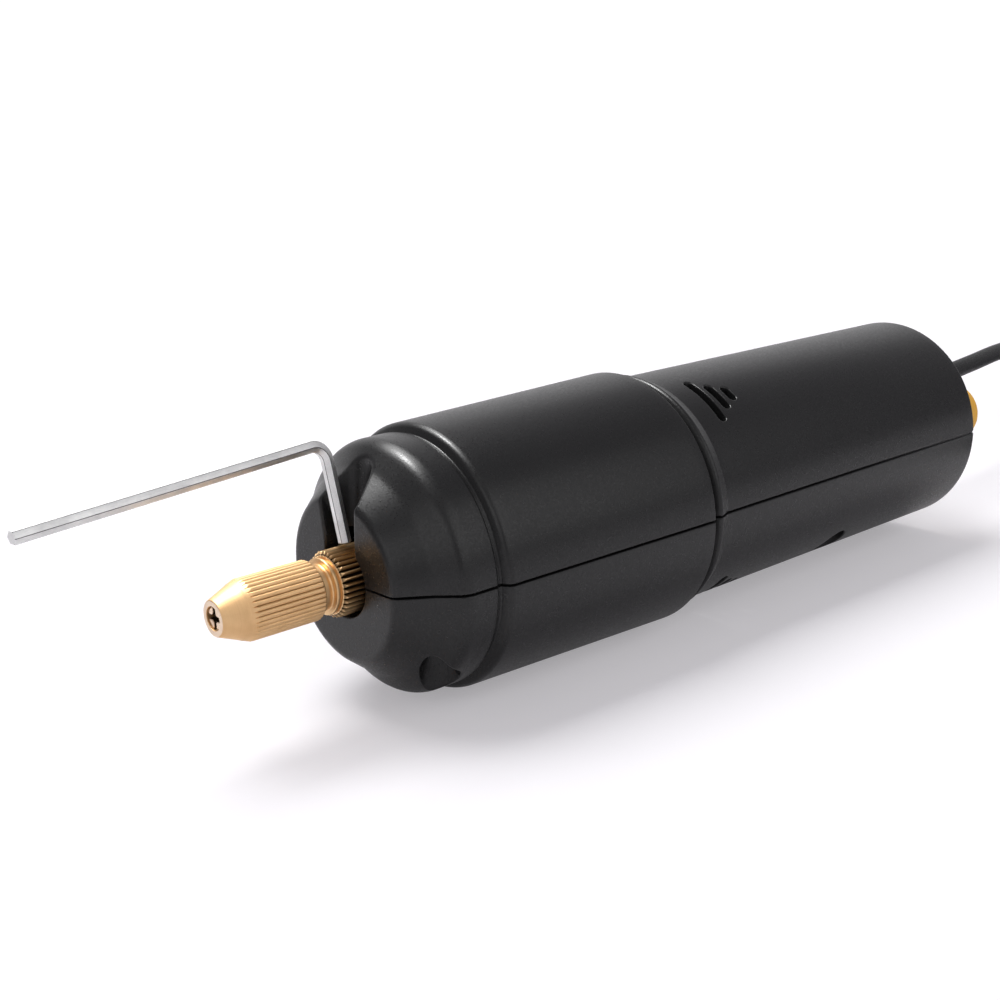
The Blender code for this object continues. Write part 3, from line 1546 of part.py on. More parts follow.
def make_tie():
    """A flat strap round the whole bundle of turns."""
    centre, outer = coil_centre()
    half = CORD_DIAMETER / 2
    inner = outer - COIL_PITCH * COIL_TURNS / COIL_LAYERS
    low = TIE_THICKNESS
    high = (COIL_LAYERS - 1) * COIL_PITCH + CORD_DIAMETER + TIE_THICKNESS + 2 * CLEARANCE
    near, far = inner - half - CLEARANCE, outer + half + CLEARANCE
    lift = Vector(centre) - AXIS_PLACE
    foot = MERGE_DISTANCE
    band = block(
        "coil_tie",
        lift + Vector((near - TIE_THICKNESS, -TIE_WIDTH / 2, foot)),
        lift + Vector((far + TIE_THICKNESS, TIE_WIDTH / 2, high + TIE_THICKNESS)),
        parts,
        strap,
    )
    window = block(
        "tie_window",
        lift + Vector((near, -TIE_WIDTH, low)),
        lift + Vector((far, TIE_WIDTH, high)),
        cutters,
    )
    boolean(band, window)


def make_plug(end):
    """The plug lies flat beside the coil, its metal shell pointing back towards the drill."""
    rear = end.x - CLEARANCE
    y, z = end.y, PLUG_HEIGHT / 2
    origin = Vector((0, y, z)) - AXIS_PLACE
    moulding = block(
        "plug_overmould",
        origin + Vector((rear - PLUG_NECK_LENGTH - PLUG_LENGTH, -PLUG_WIDTH / 2, -PLUG_HEIGHT / 2)),
        origin + Vector((rear - PLUG_NECK_LENGTH, PLUG_WIDTH / 2, PLUG_HEIGHT / 2)),
        parts,
        rubber,
        bevel=PLUG_ROUND,
    )
    neck = turned(
        "plug_neck",
        [
            (rear - PLUG_NECK_LENGTH - PLUG_ROUND, 0),
            (rear - PLUG_NECK_LENGTH - PLUG_ROUND, PLUG_NECK_RADIUS),
            (rear - PLUG_NECK_LENGTH, PLUG_NECK_RADIUS),
            (rear, RELIEF_TIP_RADIUS),
            (rear, 0),
        ],
        SMALL_STEPS,
        cutters,
    )
    neck.location = (0, y, z)
    boolean(moulding, neck, "UNION")
    front = rear - PLUG_NECK_LENGTH - PLUG_LENGTH
    seat = front + SHELL_SEAT
    half_width, half_height = SHELL_WIDTH / 2, SHELL_HEIGHT / 2
    pocket = block(
        "shell_pocket",
        origin + Vector((front - OVERRUN, -half_width - CLEARANCE, -half_height - CLEARANCE)),
        origin + Vector((seat + CLEARANCE, half_width + CLEARANCE, half_height + CLEARANCE)),
        cutters,
    )
    boolean(moulding, pocket)
    shell = block(
        "plug_shell",
        origin + Vector((front - SHELL_LENGTH, -half_width, -half_height)),
        origin + Vector((seat, half_width, half_height)),
        parts,
        steel,
    )
    mouth_width, mouth_height = half_width - SHELL_WALL, half_height - SHELL_WALL
    mouth = block(
        "shell_mouth",
        origin + Vector((front - SHELL_LENGTH - OVERRUN, -mouth_width, -mouth_height)),
        origin + Vector((seat - OVERRUN, mouth_width, mouth_height)),
        cutters,
    )
    boolean(shell, mouth)
    side = half_width - SHELL_WALL - CLEARANCE
    top = half_height - SHELL_WALL - CLEARANCE
    block(
        "plug_tongue",
        origin + Vector((front - SHELL_LENGTH + OVERRUN, -side, top - TONGUE_THICKNESS)),
        origin + Vector((seat - OVERRUN - CLEARANCE, side, top)),
        parts,
        nylon,
    )


clear_scene()
parts = new_collection("mini electric drill")
cutters = new_collection("cutters")

plastic = new_material("matt black plastic", (0.028, 0.028, 0.029), 0.55)
brass = new_material("machined brass", (0.72, 0.43, 0.16), 0.3, 1.0)
steel = new_material("bright steel", (0.62, 0.61, 0.6), 0.28, 1.0)
steel_dark = new_material("dark steel", (0.16, 0.155, 0.15), 0.4, 1.0)
zinc = new_material("zinc plated screw", (0.5, 0.49, 0.46), 0.35, 1.0)
bronze = new_material("sintered bronze", (0.45, 0.26, 0.12), 0.5, 1.0)
ferrite = new_material("ferrite", (0.06, 0.06, 0.065), 0.7)
copper = new_material("copper", (0.75, 0.31, 0.16), 0.35, 1.0)
carbon = new_material("carbon", (0.03, 0.03, 0.03), 0.8)
nylon = new_material("dark nylon", (0.05, 0.05, 0.055), 0.5)
yellow = new_material("yellow button plastic", (0.83, 0.44, 0.03), 0.4)
rubber = new_material("black rubber", (0.02, 0.02, 0.021), 0.6)
cable = new_material("black cable jacket", (0.022, 0.022, 0.024), 0.5)
strap = new_material("tie strap", (0.03, 0.03, 0.032), 0.7)
wire_red = new_material("red wire", (0.45, 0.02, 0.02), 0.5)
wire_black = new_material("black wire", (0.02, 0.02, 0.02), 0.5)


def axis_empty(name):
    made = bpy.data.objects.new(name, None)
    made.location = AXIS_PLACE
    parts.objects.link(made)
    return made


spindle = axis_empty("spindle_axis")
bpy.context.view_layer.update()
make_housing()
make_housing_screws()
make_chuck_body(spindle)
make_set_screw(spindle)
make_collet(spindle)
make_collet_nut(spindle)
make_hex_key()
make_motor_can()
make_end_cap()
make_bushes()
make_magnets()
make_shaft(spindle)
make_armature(spindle)
make_brush_gear()
make_switch()
make_strain_relief()
make_wires()
make_lead()
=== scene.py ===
"""Mini electric drill: its visible surfaces, finishes, lead, stage and camera.

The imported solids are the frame. Lengths are in millimetres until Build.finish and the lead's path
turn them into metres. Stations run along the drill from the chuck's front face to the rear, and
radii are from the drill's axis. Angles round the axis start straight up.
"""

import json
import math

import bmesh
import bpy
import numpy as np
from bpy.props import FloatProperty, FloatVectorProperty, IntProperty, PointerProperty
from mathutils import Matrix, Vector


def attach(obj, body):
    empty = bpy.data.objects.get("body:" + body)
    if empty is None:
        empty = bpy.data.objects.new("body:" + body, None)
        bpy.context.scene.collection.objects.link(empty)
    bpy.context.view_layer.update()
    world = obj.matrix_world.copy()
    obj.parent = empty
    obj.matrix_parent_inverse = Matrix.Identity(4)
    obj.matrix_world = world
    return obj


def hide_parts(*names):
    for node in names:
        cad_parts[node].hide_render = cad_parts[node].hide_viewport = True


bl_info = {
    "name": "Mini electric drill",
    "version": (1, 0, 0),
    "blender": (4, 5, 0),
    "location": "View3D > Sidebar > Drill",
    "description": "Builds the drill's housing, chuck, key, button, lead and stage",
    "category": "Add Mesh",
}

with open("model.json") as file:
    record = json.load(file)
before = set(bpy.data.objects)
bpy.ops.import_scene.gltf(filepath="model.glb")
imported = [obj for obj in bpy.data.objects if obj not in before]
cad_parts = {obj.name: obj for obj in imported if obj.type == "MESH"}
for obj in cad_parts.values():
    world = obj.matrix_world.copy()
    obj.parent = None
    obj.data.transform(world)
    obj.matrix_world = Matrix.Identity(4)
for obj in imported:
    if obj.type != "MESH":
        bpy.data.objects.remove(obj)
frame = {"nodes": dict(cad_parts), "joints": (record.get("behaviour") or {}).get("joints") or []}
NODES = frame["nodes"]
JOINTS = {joint["name"]: joint for joint in frame["joints"]}
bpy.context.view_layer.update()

MM = 0.001
AXIS = np.array(JOINTS["spindle_spin"]["pos_m"]) / MM
KEY_FOOT = np.array(JOINTS["key_turn"]["pos_m"]) / MM
QUARTER = math.pi / 2

# Housing: walls, the inside's (station, radius) line, edge rounds and the spacing of its grid
SEAM = 0.15
NOSE_FACE, NOSE_HOLE, NOSE_WALL = 18.9, 4.9, 2.0
NOSE_INSIDE = NOSE_FACE + NOSE_WALL
FACE_RADIUS, NECK_STATION, BAND_RADIUS = 10.9, 23.0, 17.2
REAR_FACE, REAR_WALL = 137.0, 2.0
REAR_INSIDE = REAR_FACE - REAR_WALL
INNER_STATIONS = (NOSE_INSIDE, 23.0, 25.05, 31.0, 33.5, 67.3, 68.2, REAR_INSIDE)
INNER_RADII = (8.85, 10.9, 14.35, 14.35, 16.2, 16.4, 14.95, 14.95)
SLOT_LIP, HOLE_LIP, SEAM_LIP, REAR_LIP = 0.35, 0.22, 0.14, 0.25
LIP_TURNS = np.radians([90.0, 60.0, 30.0, 0.0])
ROW_STEP = 1.6
COLUMN_ANGLES = np.radians(np.concatenate([np.arange(40) * 1.6, np.linspace(64.0, 90.0, 17)]))
COLUMN_SHARES = COLUMN_ANGLES / QUARTER

# Key slot, open to the front, with a half circle behind; columns that its lip adds to the grid
SLOT_HALF, SLOT_CENTRE, SLOT_FOOT, SLOT_WALL = 3.2, 20.9, 5.9, 1.0
SLOT_COLUMNS = 3

# Vents: three slots in a triangle; their windows in the grid
VENT_STATION, VENT_PITCH, VENT_HALF, VENT_ANGLE = 78.5, 2.45, 0.75, math.radians(32)
VENT_LENGTHS = (9.1, 5.4, 3.0)
VENT_ROWS, VENT_MIDDLE, VENT_COLUMNS = 12, 20, (11, 7, 4)
VENT_GRID = VENT_STATION + VENT_PITCH * (np.arange(3 * VENT_ROWS + 1) / VENT_ROWS - 0.5)

# Screws and their recesses; the recesses' windows in the grid
SCREW_STATIONS, SCREW_SPREAD = (25.8, 106.0), 10.5
RECESS_RADIUS, SCREW_SEAT, SCREW_HOLE = 2.65, 6.0, 1.4
RECESS_REACH, RECESS_ROWS, RECESS_COLUMNS = 3.3, 23, ((15, 45), (15, 34))

# Button and lead: (across, up) from the axis, and the radius of each opening
BUTTON_PLACE, BUTTON_HOLE, BUTTON_RADIUS = (-9.6, 1.6), 5.1, 4.8
LEAD_PLACE, LEAD_HOLE = (6.8, 2.0), 3.3
CORD_DIAMETER, CORD_LENGTH, SLEEVE_END, SLEEVE_TIP_RADIUS = 3.3, 1000.0, 150.0, 2.15
COIL_BEHIND, COIL_ACROSS, COIL_PITCH, COIL_TURNS, COIL_LAYERS = 97.7, 14.6, 3.85, 7.5, 4
TAIL_LENGTH, GAP = 15.0, 0.3
PLUG_WIDTH, PLUG_HEIGHT, PLUG_LENGTH, PLUG_NECK, PLUG_MIDDLE = 15.0, 8.0, 21.0, 8.0, 4.0
TUBE_WIDTH, TUBE_HEIGHT, TUBE_LENGTH, TUBE_WALL = 12.0, 4.5, 18.75, 0.35

# Chuck and key
NUT_RADIUS, COLLAR_RADIUS, COLLAR_START, COLLAR_END = 4.0, 4.4, 16.4, 24.0
JAW_GAP, JAW_BORE = 0.3, 0.62
KEY_SHORT, KEY_LONG, KEY_BEND, KEY_EDGE, KEY_END = 14.0, 45.0, 2.4, 0.09, 0.12
# The key's own axes: forward along the long arm, across, and up along the short arm
KEY_TURN = np.array(
    [[0.99070, -0.12770, -0.04710], [0.13390, 0.97650, 0.16890], [0.02440, -0.17360, 0.98450]]
)


# Meshes from arrays


class Build:
    """Gathers points in millimetres and faces, then welds them into one mesh in metres."""

    def __init__(self):
        self.points, self.faces, self.count = [], [], 0

    def add(self, points):
        points = np.asarray(points, float).reshape(-1, 3)
        self.points.append(points)
        self.count += len(points)
        return self.count - len(points)

    def grid(self, points, keep=None, wrap=False):
        """Quads between neighbouring rows and columns; keep masks the cells that stay."""
        rows, columns = points.shape[:2]
        index = self.add(points) + np.arange(rows * columns).reshape(rows, columns)
        if wrap:
            index = np.concatenate([index, index[:, :1]], axis=1)
        quads = np.stack([index[:-1, :-1], index[:-1, 1:], index[1:, 1:], index[1:, :-1]], axis=-1)
        if keep is not None:
            quads = quads[keep]
        self.faces += quads.reshape(-1, 4).tolist()

    def polygon(self, points):
        start = self.add(points)
        self.faces.append(list(range(start, start + len(points))))

    def fan(self, ring, tip):
        """Triangles from a closed ring of points to one tip."""
        start, last, count = self.add(ring), self.add([tip]), len(ring)
        self.faces += [[start + i, start + (i + 1) % count, last] for i in range(count)]

    def bar(self, rings):
        """A wrapped grid through the rings, closed at both ends."""
        self.grid(np.stack(rings), wrap=True)
        self.polygon(rings[0])
        self.polygon(rings[-1])

    def join(self, other, turned):
        """Another build's faces, with its points turned."""
        start = self.add(turned(np.concatenate(other.points)))
        self.faces += [[start + i for i in face] for face in other.faces]

    def finish(self, name, material, body, slot, nodes=(), sharp=32.0):
        mesh = bpy.data.meshes.new(name)
        mesh.from_pydata((np.concatenate(self.points) * MM).tolist(), [], self.faces)
        shape = bmesh.new()
        shape.from_mesh(mesh)
        bmesh.ops.remove_doubles(shape, verts=shape.verts, dist=1.5e-6)
        bmesh.ops.dissolve_degenerate(shape, edges=shape.edges, dist=1e-7)
        loose = [v for v in shape.verts if not v.link_faces]
        bmesh.ops.delete(shape, geom=loose, context="VERTS")
        bmesh.ops.recalc_face_normals(shape, faces=shape.faces)
        shape.to_mesh(mesh)
        shape.free()
        mesh.shade_smooth()
        mesh.set_sharp_from_angle(angle=math.radians(sharp))
        piece = bpy.data.objects.new(name, mesh)
        bpy.context.scene.collection.objects.link(piece)
        mesh.materials.append(MATERIALS[material])
        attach(piece, body)
        if nodes:
            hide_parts(*nodes)
        return piece


def repaint(piece, material, chosen):
    """Gives the faces that chosen(face) picks a second finish."""
    piece.data.materials.append(MATERIALS[material])
    for face in piece.data.polygons:
        if chosen(face):
            face.material_index = 1


def smoothstep(t):
    t = np.clip(t, 0, 1)
    return t * t * (3 - 2 * t)


def even_angles(count):
    return math.tau * np.arange(count) / count


def places(x, y, z):
    """Places from three coordinates, spread to one shape."""
    return np.stack(np.broadcast_arrays(x, y, z), axis=-1)


def on_axis(station, across, up):
    """Places from a station, and across and up from the drill's axis."""
    return places(AXIS[0] + station, AXIS[1] + across, AXIS[2] + up)


def around(stations, radii, angles, centre=(0.0, 0.0)):
    """Places at (station, radius, angle), round the axis or a line beside it."""
    return on_axis(stations, centre[0] + radii * np.sin(angles), centre[1] + radii * np.cos(angles))


def rounded(corners, pieces=8):
    """Points through (station, radius, round) corners, each round an arc that meets both sides."""
    points = []
    for i, (station, radius, fillet) in enumerate(corners):
        here = np.array((station, radius), float)
        if i in (0, len(corners) - 1) or fillet == 0:
            points.append(here[None])
            continue
        back, on = (np.array(corners[k][:2]) - here for k in (i - 1, i + 1))
        long_back, long_on = np.hypot(*back), np.hypot(*on)
        back, on = back / long_back, on / long_on
        half = math.acos(np.clip(back @ on, -1, 1)) / 2
        reach = min(fillet / math.tan(half), 0.49 * min(long_back, long_on))
        centre = here + (back + on) / np.hypot(*(back + on)) * reach / math.cos(half)
        start, end = here + back * reach - centre, here + on * reach - centre
        sweep = math.atan2(start[0] * end[1] - start[1] * end[0], start @ end)
        arc = complex(*start) * np.exp(1j * sweep * np.linspace(0, 1, pieces + 1))
        points.append(centre + np.stack([arc.real, arc.imag], axis=1))
    return np.concatenate(points)


def divided(points, longest):
    """The same line with no step longer than longest."""
    out = [points[:1]]
    for a, b in zip(points[:-1], points[1:]):
        steps = max(1, math.ceil(np.hypot(*(b - a)) / longest - 1e-9))
        out.append(a + (b - a) * np.linspace(0, 1, steps + 1)[1:, None])
    return np.concatenate(out)


def revolve(build, outline, columns, centre=(0.0, 0.0)):
    """A surface of revolution: the (station, radius) outline turned a full circle."""
    outline = np.asarray(outline, float)
    build.grid(around(outline[:, :1], outline[:, 1:], even_angles(columns), centre), wrap=True)


# Node groups and materials


class Graph:
    """Adds and links shader nodes in one tree."""

    def __init__(self, tree):
        self.tree = tree

    def node(self, kind, inputs, **settings):
        made = self.tree.nodes.new(kind)
        for name, value in settings.items():
            setattr(made, name, value)
        for name, value in inputs.items():
            self.set(made.inputs[name], value)
        return made

    def set(self, socket, value):
        if isinstance(value, bpy.types.NodeSocket):
            self.tree.links.new(value, socket)
        else:
            socket.default_value = value

    def place(self):
        return self.node("ShaderNodeTexCoord", {}).outputs["Object"]

    def math(self, operation, a, b=0.0):
        return self.node("ShaderNodeMath", {0: a, 1: b, 2: 0.0}, operation=operation).outputs[0]

    def mix(self, share, a, b):
        return self.node("ShaderNodeMix", {0: share, 6: a, 7: b}, data_type="RGBA").outputs[2]

    def span(self, value, low, high, to_low=0.0, to_high=1.0):
        values = {0: value, 1: low, 2: high, 3: to_low, 4: to_high}
        return self.node("ShaderNodeMapRange", values).outputs[0]

    def noise(self, vector, scale, detail=2.0, rough=0.5):
        values = {"Vector": vector, "Scale": scale, "Detail": detail, "Roughness": rough}
        return self.node("ShaderNodeTexNoise", values).outputs["Fac"]


class SurfaceGroup(Graph):
    """A node group that turns its named inputs into a colour, a roughness and a normal."""

    def __init__(self, name, defaults):
        super().__init__(bpy.data.node_groups.new(name, "ShaderNodeTree"))
        sockets = self.tree.interface
        for label, default in defaults.items():
            kind = "NodeSocketFloat" if isinstance(default, float) else "NodeSocketColor"
            sockets.new_socket(label, in_out="INPUT", socket_type=kind).default_value = default
        for label, kind in (("Colour", "Color"), ("Roughness", "Float"), ("Normal", "Vector")):
            sockets.new_socket(label, in_out="OUTPUT", socket_type="NodeSocket" + kind)
        self.given = self.tree.nodes.new("NodeGroupInput").outputs
        self.results = self.tree.nodes.new("NodeGroupOutput").inputs

    def close(self, colour, share, ends, height, distance):
        """Roughness runs between the two inputs in ends by share; the bump comes from height."""
        values = {0: share, 2: self.given[ends[0]], 3: self.given[ends[1]]}
        rough = self.node("ShaderNodeMix", values, data_type="FLOAT")
        values = {"Height": height, "Distance": self.given[distance], "Strength": 1.0}
        bump = self.node("ShaderNodeBump", values)
        self.set(self.results["Colour"], colour)
        self.set(self.results["Roughness"], rough.outputs[0])
        self.set(self.results["Normal"], bump.outputs[0])
        return self.tree


def moulded_group():
    """Spark-eroded moulding: fine rounded grain, faint flow clouds, rubbed crests and some dust."""
    defaults = {"Colour": (0.03, 0.03, 0.03, 1), "Grain Size": 0.00022, "Grain Height": 0.00002}
    graph = SurfaceGroup("moulded_surface", defaults | {"Smooth": 0.42, "Rough": 0.6, "Dust": 0.05})
    given, place = graph.given, graph.place()
    grain = graph.noise(place, graph.math("DIVIDE", 1.0, given["Grain Size"]), 2.0, 0.6)
    cloud = graph.noise(place, 55.0, 3.0)
    speck = graph.noise(place, 2600.0, 1.0)
    crest = graph.span(grain, 0.42, 0.66)
    darker = graph.mix(0.22, given["Colour"], (0.0, 0.0, 0.0, 1.0))
    base = graph.mix(graph.span(cloud, 0.3, 0.7), darker, given["Colour"])
    lighter = graph.mix(0.006, base, (1.0, 0.97, 0.95, 1.0))
    base = graph.mix(crest, base, lighter)
    fleck = graph.math("MULTIPLY", graph.span(speck, 0.7, 0.78), given["Dust"])
    base = graph.mix(fleck, base, (0.5, 0.48, 0.46, 1.0))
    return graph.close(base, crest, ("Rough", "Smooth"), grain, "Grain Height")


def turned_group():
    """Lathe-cut metal: rings across the axis, a tarnish cloud and painted shade in the grooves.

    The painted shade lies behind the groove's start, where the radius runs from its top to its
    foot.
    """
    graph = SurfaceGroup(
        "turned_metal",
        {
            "Colour": (0.7, 0.5, 0.3, 1), "Tarnish": (0.4, 0.2, 0.1, 1), "Tarnish Share": 0.12,
            "Ring Size": 0.00008, "Ring Height": 0.0000008, "Smooth": 0.2, "Rough": 0.4,
            "Groove Start": 1.0, "Groove Foot": 0.0037, "Groove Top": 0.004, "Groove Share": 0.0,
        },
    )
    given, place = graph.given, graph.place()
    x, y, z = graph.node("ShaderNodeSeparateXYZ", {0: place}).outputs
    up = graph.math("SUBTRACT", z, float(AXIS[2] * MM))
    squares = graph.math("ADD", graph.math("POWER", y, 2.0), graph.math("POWER", up, 2.0))
    radius = graph.math("SQRT", squares)
    along, across = graph.math("ADD", x, radius), graph.math("MULTIPLY", y, 0.03)
    values = {0: along, 1: across, 2: graph.math("MULTIPLY", up, 0.02)}
    rings = graph.node("ShaderNodeCombineXYZ", values).outputs[0]
    ring = graph.noise(rings, graph.math("DIVIDE", 1.0, given["Ring Size"]), 2.0, 0.6)
    cloud = graph.noise(place, 420.0, 3.0)
    fine = graph.noise(place, 9000.0, 1.0)
    stain = graph.math("MULTIPLY", graph.span(cloud, 0.4, 0.7), given["Tarnish Share"])
    base = graph.mix(stain, given["Colour"], given["Tarnish"])
    base = graph.mix(graph.span(ring, 0.3, 0.7, 0.0, 0.08), base, given["Tarnish"])
    # Painted shade: a near-black brown laid into the grooves, darkest at their foot, standing in
    # for the shade there
    deep = graph.span(radius, given["Groove Foot"], given["Groove Top"], 1.0, 0.0)
    behind = graph.math("GREATER_THAN", x, given["Groove Start"])
    painted_groove_shade = graph.math("MULTIPLY", graph.math("MULTIPLY", deep, behind), given["Groove Share"])
    base = graph.mix(painted_groove_shade, base, (0.03, 0.014, 0.004, 1.0))
    share = graph.math(
        "ADD", graph.span(cloud, 0.35, 0.7, 0.0, 0.6), graph.span(fine, 0.4, 0.6, 0.0, 0.4)
    )
    return graph.close(base, share, ("Smooth", "Rough"), ring, "Ring Height")


def drawn_group():
    """Drawn or rolled metal: fine lines along X, handling marks and a cloudy sheen."""
    graph = SurfaceGroup(
        "drawn_metal",
        {
            "Colour": (0.6, 0.6, 0.6, 1), "Dark": (0.3, 0.3, 0.3, 1), "Mark Share": 0.25,
            "Line Size": 0.00012, "Line Height": 0.000003, "Smooth": 0.2, "Rough": 0.38,
        },
    )
    given, place = graph.given, graph.place()
    along = graph.node("ShaderNodeMapping", {"Vector": place, "Scale": (0.03, 1.0, 1.0)})
    scale = graph.math("DIVIDE", 1.0, given["Line Size"])
    line = graph.noise(along.outputs[0], scale, 2.0, 0.6)
    cloud = graph.noise(place, 240.0, 4.0, 0.6)
    share = graph.math("MULTIPLY", graph.span(cloud, 0.42, 0.68), given["Mark Share"])
    base = graph.mix(share, given["Colour"], given["Dark"])
    base = graph.mix(graph.span(line, 0.35, 0.7, 0.0, 0.15), base, given["Dark"])
    sheen = graph.span(cloud, 0.35, 0.7)
    return graph.close(base, sheen, ("Smooth", "Rough"), line, "Line Height")


def grained(size, height=None, dust=None):
    values = {"Grain Size": size, "Grain Height": height, "Dust": dust}
    return {label: value for label, value in values.items() if value is not None}


# Where turned_metal paints shade into the grooves, and how strongly
def grooved(start, foot, top, share, **more):
    values = {"Groove Start": float((AXIS[0] + start) * MM), "Groove Foot": foot * MM}
    return values | {"Groove Top": top * MM, "Groove Share": share}


DARK_BRASS, GREY = (0.42, 0.2, 0.06), (0.25, 0.25, 0.26)
WIRE = {"Grain Height": 0.000006}

# Plastics: colour or the name of a chosen colour, smooth and rough ends of the gloss, the grain
PLASTICS = {
    "matt_black_plastic": ("housing", 0.27, 0.37, grained(0.0003, 0.000011, 0.006)),
    "yellow_button_plastic": ("button", 0.3, 0.42, grained(0.0006, 0.000006, 0.02)),
    "dark_nylon": ((0.05, 0.05, 0.055), 0.4, 0.6, {}),
    "black_rubber": ((0.02, 0.02, 0.021), 0.5, 0.7, grained(0.0004)),
    "cable_jacket": ((0.012, 0.012, 0.013), 0.42, 0.58, grained(0.0003, 0.000008)),
    "black_wire": ((0.02, 0.02, 0.02), 0.3, 0.45, WIRE),
    "red_wire": ((0.45, 0.02, 0.02), 0.3, 0.45, WIRE),
    "ferrite": ((0.06, 0.06, 0.065), 0.55, 0.8, grained(0.0002)),
    "carbon": ((0.03, 0.03, 0.03), 0.5, 0.8, grained(0.00015)),
    "tie_strap": ((0.03, 0.03, 0.032), 0.6, 0.85, grained(0.0005, 0.00006)),
}
# Metals: group, colour, tarnish or dark colour, smooth and rough ends of the gloss, the rest
METALS = {
    # turned_brass and bright_brass: grooved() paints shade into the nut's grooves and the collar's
    # tooth valleys
    "turned_brass": (
        "turned", "brass", DARK_BRASS, 0.5, 0.62,
        grooved(4.12, 3.74, 3.88, 0.6) | {"Ring Size": 0.00016, "Ring Height": 0.0000014},
    ),
    "bright_brass": ("turned", "brass", DARK_BRASS, 0.34, 0.46, grooved(16.5, 3.9, 4.33, 0.97)),
    "slit_shade": ("turned", (0.05, 0.03, 0.015), (0.01, 0.008, 0.005), 0.5, 0.7, {}),
    # Paler brass of the jaws; on the nut's flat rim it is a painted highlight
    "bright_jaws": ("turned", (0.9, 0.72, 0.55), DARK_BRASS, 0.25, 0.4, {}),
    "sintered_bronze": ("turned", (0.45, 0.26, 0.12), (0.2, 0.1, 0.05), 0.4, 0.6, {}),
    "copper": ("turned", (0.75, 0.31, 0.16), (0.4, 0.12, 0.05), 0.25, 0.45, {}),
    "dark_steel": ("turned", (0.16, 0.155, 0.15), (0.06, 0.06, 0.06), 0.3, 0.45, {}),
    "bright_steel": ("drawn", "steel", GREY, 0.2, 0.36, {}),
    "key_steel": ("drawn", (0.92, 0.92, 0.91), GREY, 0.38, 0.5, {}),
    # Painted shade: near black for the key's narrow rounded edges between the flats
    "key_corners": ("drawn", (0.1, 0.1, 0.1), (0.04, 0.04, 0.04), 0.3, 0.4, {}),
    "zinc_screw": ("drawn", (0.5, 0.49, 0.46), GREY, 0.3, 0.45, {}),
}
MATERIALS = {}


def new_material(name, group, values, **shader_values):
    """A material whose colour, roughness and normal come from one of the shared groups."""
    made = MATERIALS[name] = bpy.data.materials.new(name)
    made.use_nodes = True
    shader = made.node_tree.nodes["Principled BSDF"]
    inside = Graph(made.node_tree).node("ShaderNodeGroup", values, node_tree=group)
    for label, value in shader_values.items():
        shader.inputs[label.replace("_", " ")].default_value = value
    for label, socket in (("Colour", "Base Color"), ("Roughness",) * 2, ("Normal",) * 2):
        made.node_tree.links.new(inside.outputs[label], shader.inputs[socket])


def make_materials(chosen):
    groups = {"moulded": moulded_group(), "turned": turned_group(), "drawn": drawn_group()}

    def colour(value):
        return (*(getattr(chosen, value) if isinstance(value, str) else value), 1)

    for name, (base, smooth, rough, more) in PLASTICS.items():
        values = {"Colour": colour(base), "Smooth": smooth, "Rough": rough} | more
        new_material(name, groups["moulded"], values, Specular_IOR_Level=0.42)
    for name, (group, base, dark, smooth, rough, more) in METALS.items():
        values = {"Colour": colour(base), "Smooth": smooth, "Rough": rough} | more
        values["Tarnish" if group == "turned" else "Dark"] = colour(dark)
        new_material(name, groups[group], values, Metallic=1.0)


# Housing


def outer_outline():
    """The housing's (station, radius) line from the nose hole's inner end to the rear face."""
    cheek, brow = math.tan(math.radians(38)), math.tan(math.radians(48.5))
    neck_radius = FACE_RADIUS + (NECK_STATION - NOSE_FACE) * cheek
    band_station = NECK_STATION + (BAND_RADIUS - neck_radius) / brow
    return rounded(
        [
            (NOSE_INSIDE, NOSE_HOLE, 0), (NOSE_FACE, NOSE_HOLE, 0.3),
            (NOSE_FACE, FACE_RADIUS, 1.6), (NECK_STATION, neck_radius, 3.0),
            # Band, groove, barrel, step, bead and handle
            (band_station, BAND_RADIUS, 2.8), (30.5, BAND_RADIUS, 0.18),
            (30.75, 16.9, 0.2), (31.3, 16.9, 0.25),
            (31.9, 18.25, 1.9), (69.4, 18.95, 0.2),
            (69.4, 17.0, 0.4), (70.5, 17.0, 0.4),
            (71.4, 18.4, 0.6), (73.6, 17.45, 0.6),
            (REAR_FACE, 17.1, 0.3), (REAR_FACE, 16.0, 0),
        ]
    )


def inner_radius(stations):
    """The shell's inner radius at a station."""
    return np.interp(stations, INNER_STATIONS, INNER_RADII)


def radius_of(stations, radii):
    """The radius as a function of the station."""
    order = np.argsort(stations, kind="stable")
    return lambda s: np.interp(s, stations[order], radii[order])


def shell_rows(special):
    """Rows along the outline: special stations replace the outline's own between their ends."""
    rows = divided(outer_outline(), ROW_STEP)
    body = rows[:, 0] > NOSE_FACE + 1.2
    body &= rows[:, 1] > NOSE_HOLE + 1.0
    body &= rows[:, 0] < REAR_INSIDE
    line = rows[body]
    for stations in special:
        made = np.stack([stations, np.interp(stations, *rows[body].T)], axis=1)
        before = line[line[:, 0] < stations.min() - 0.04]
        line = np.concatenate([before, made, line[line[:, 0] > stations.max() + 0.04]])
    first, last = np.argmax(body), len(body) - np.argmax(body[::-1])
    return np.concatenate([rows[:first], line, rows[last:]])


def seam_columns(angles, radii):
    """Turns the last columns into a small rounded edge at the seam gap; gives angles and drops."""
    radii = radii[:, None]
    edge = QUARTER - np.arcsin(SEAM / radii)
    plain = np.minimum(angles[:, :-1], edge - 0.3 / radii)
    tail = edge - SEAM_LIP * (1 - np.cos(LIP_TURNS)) / radii
    drops = np.append(np.zeros(angles.shape[1] - 1), SEAM_LIP * (1 - np.sin(LIP_TURNS)))
    return np.concatenate([plain, tail], axis=1), drops


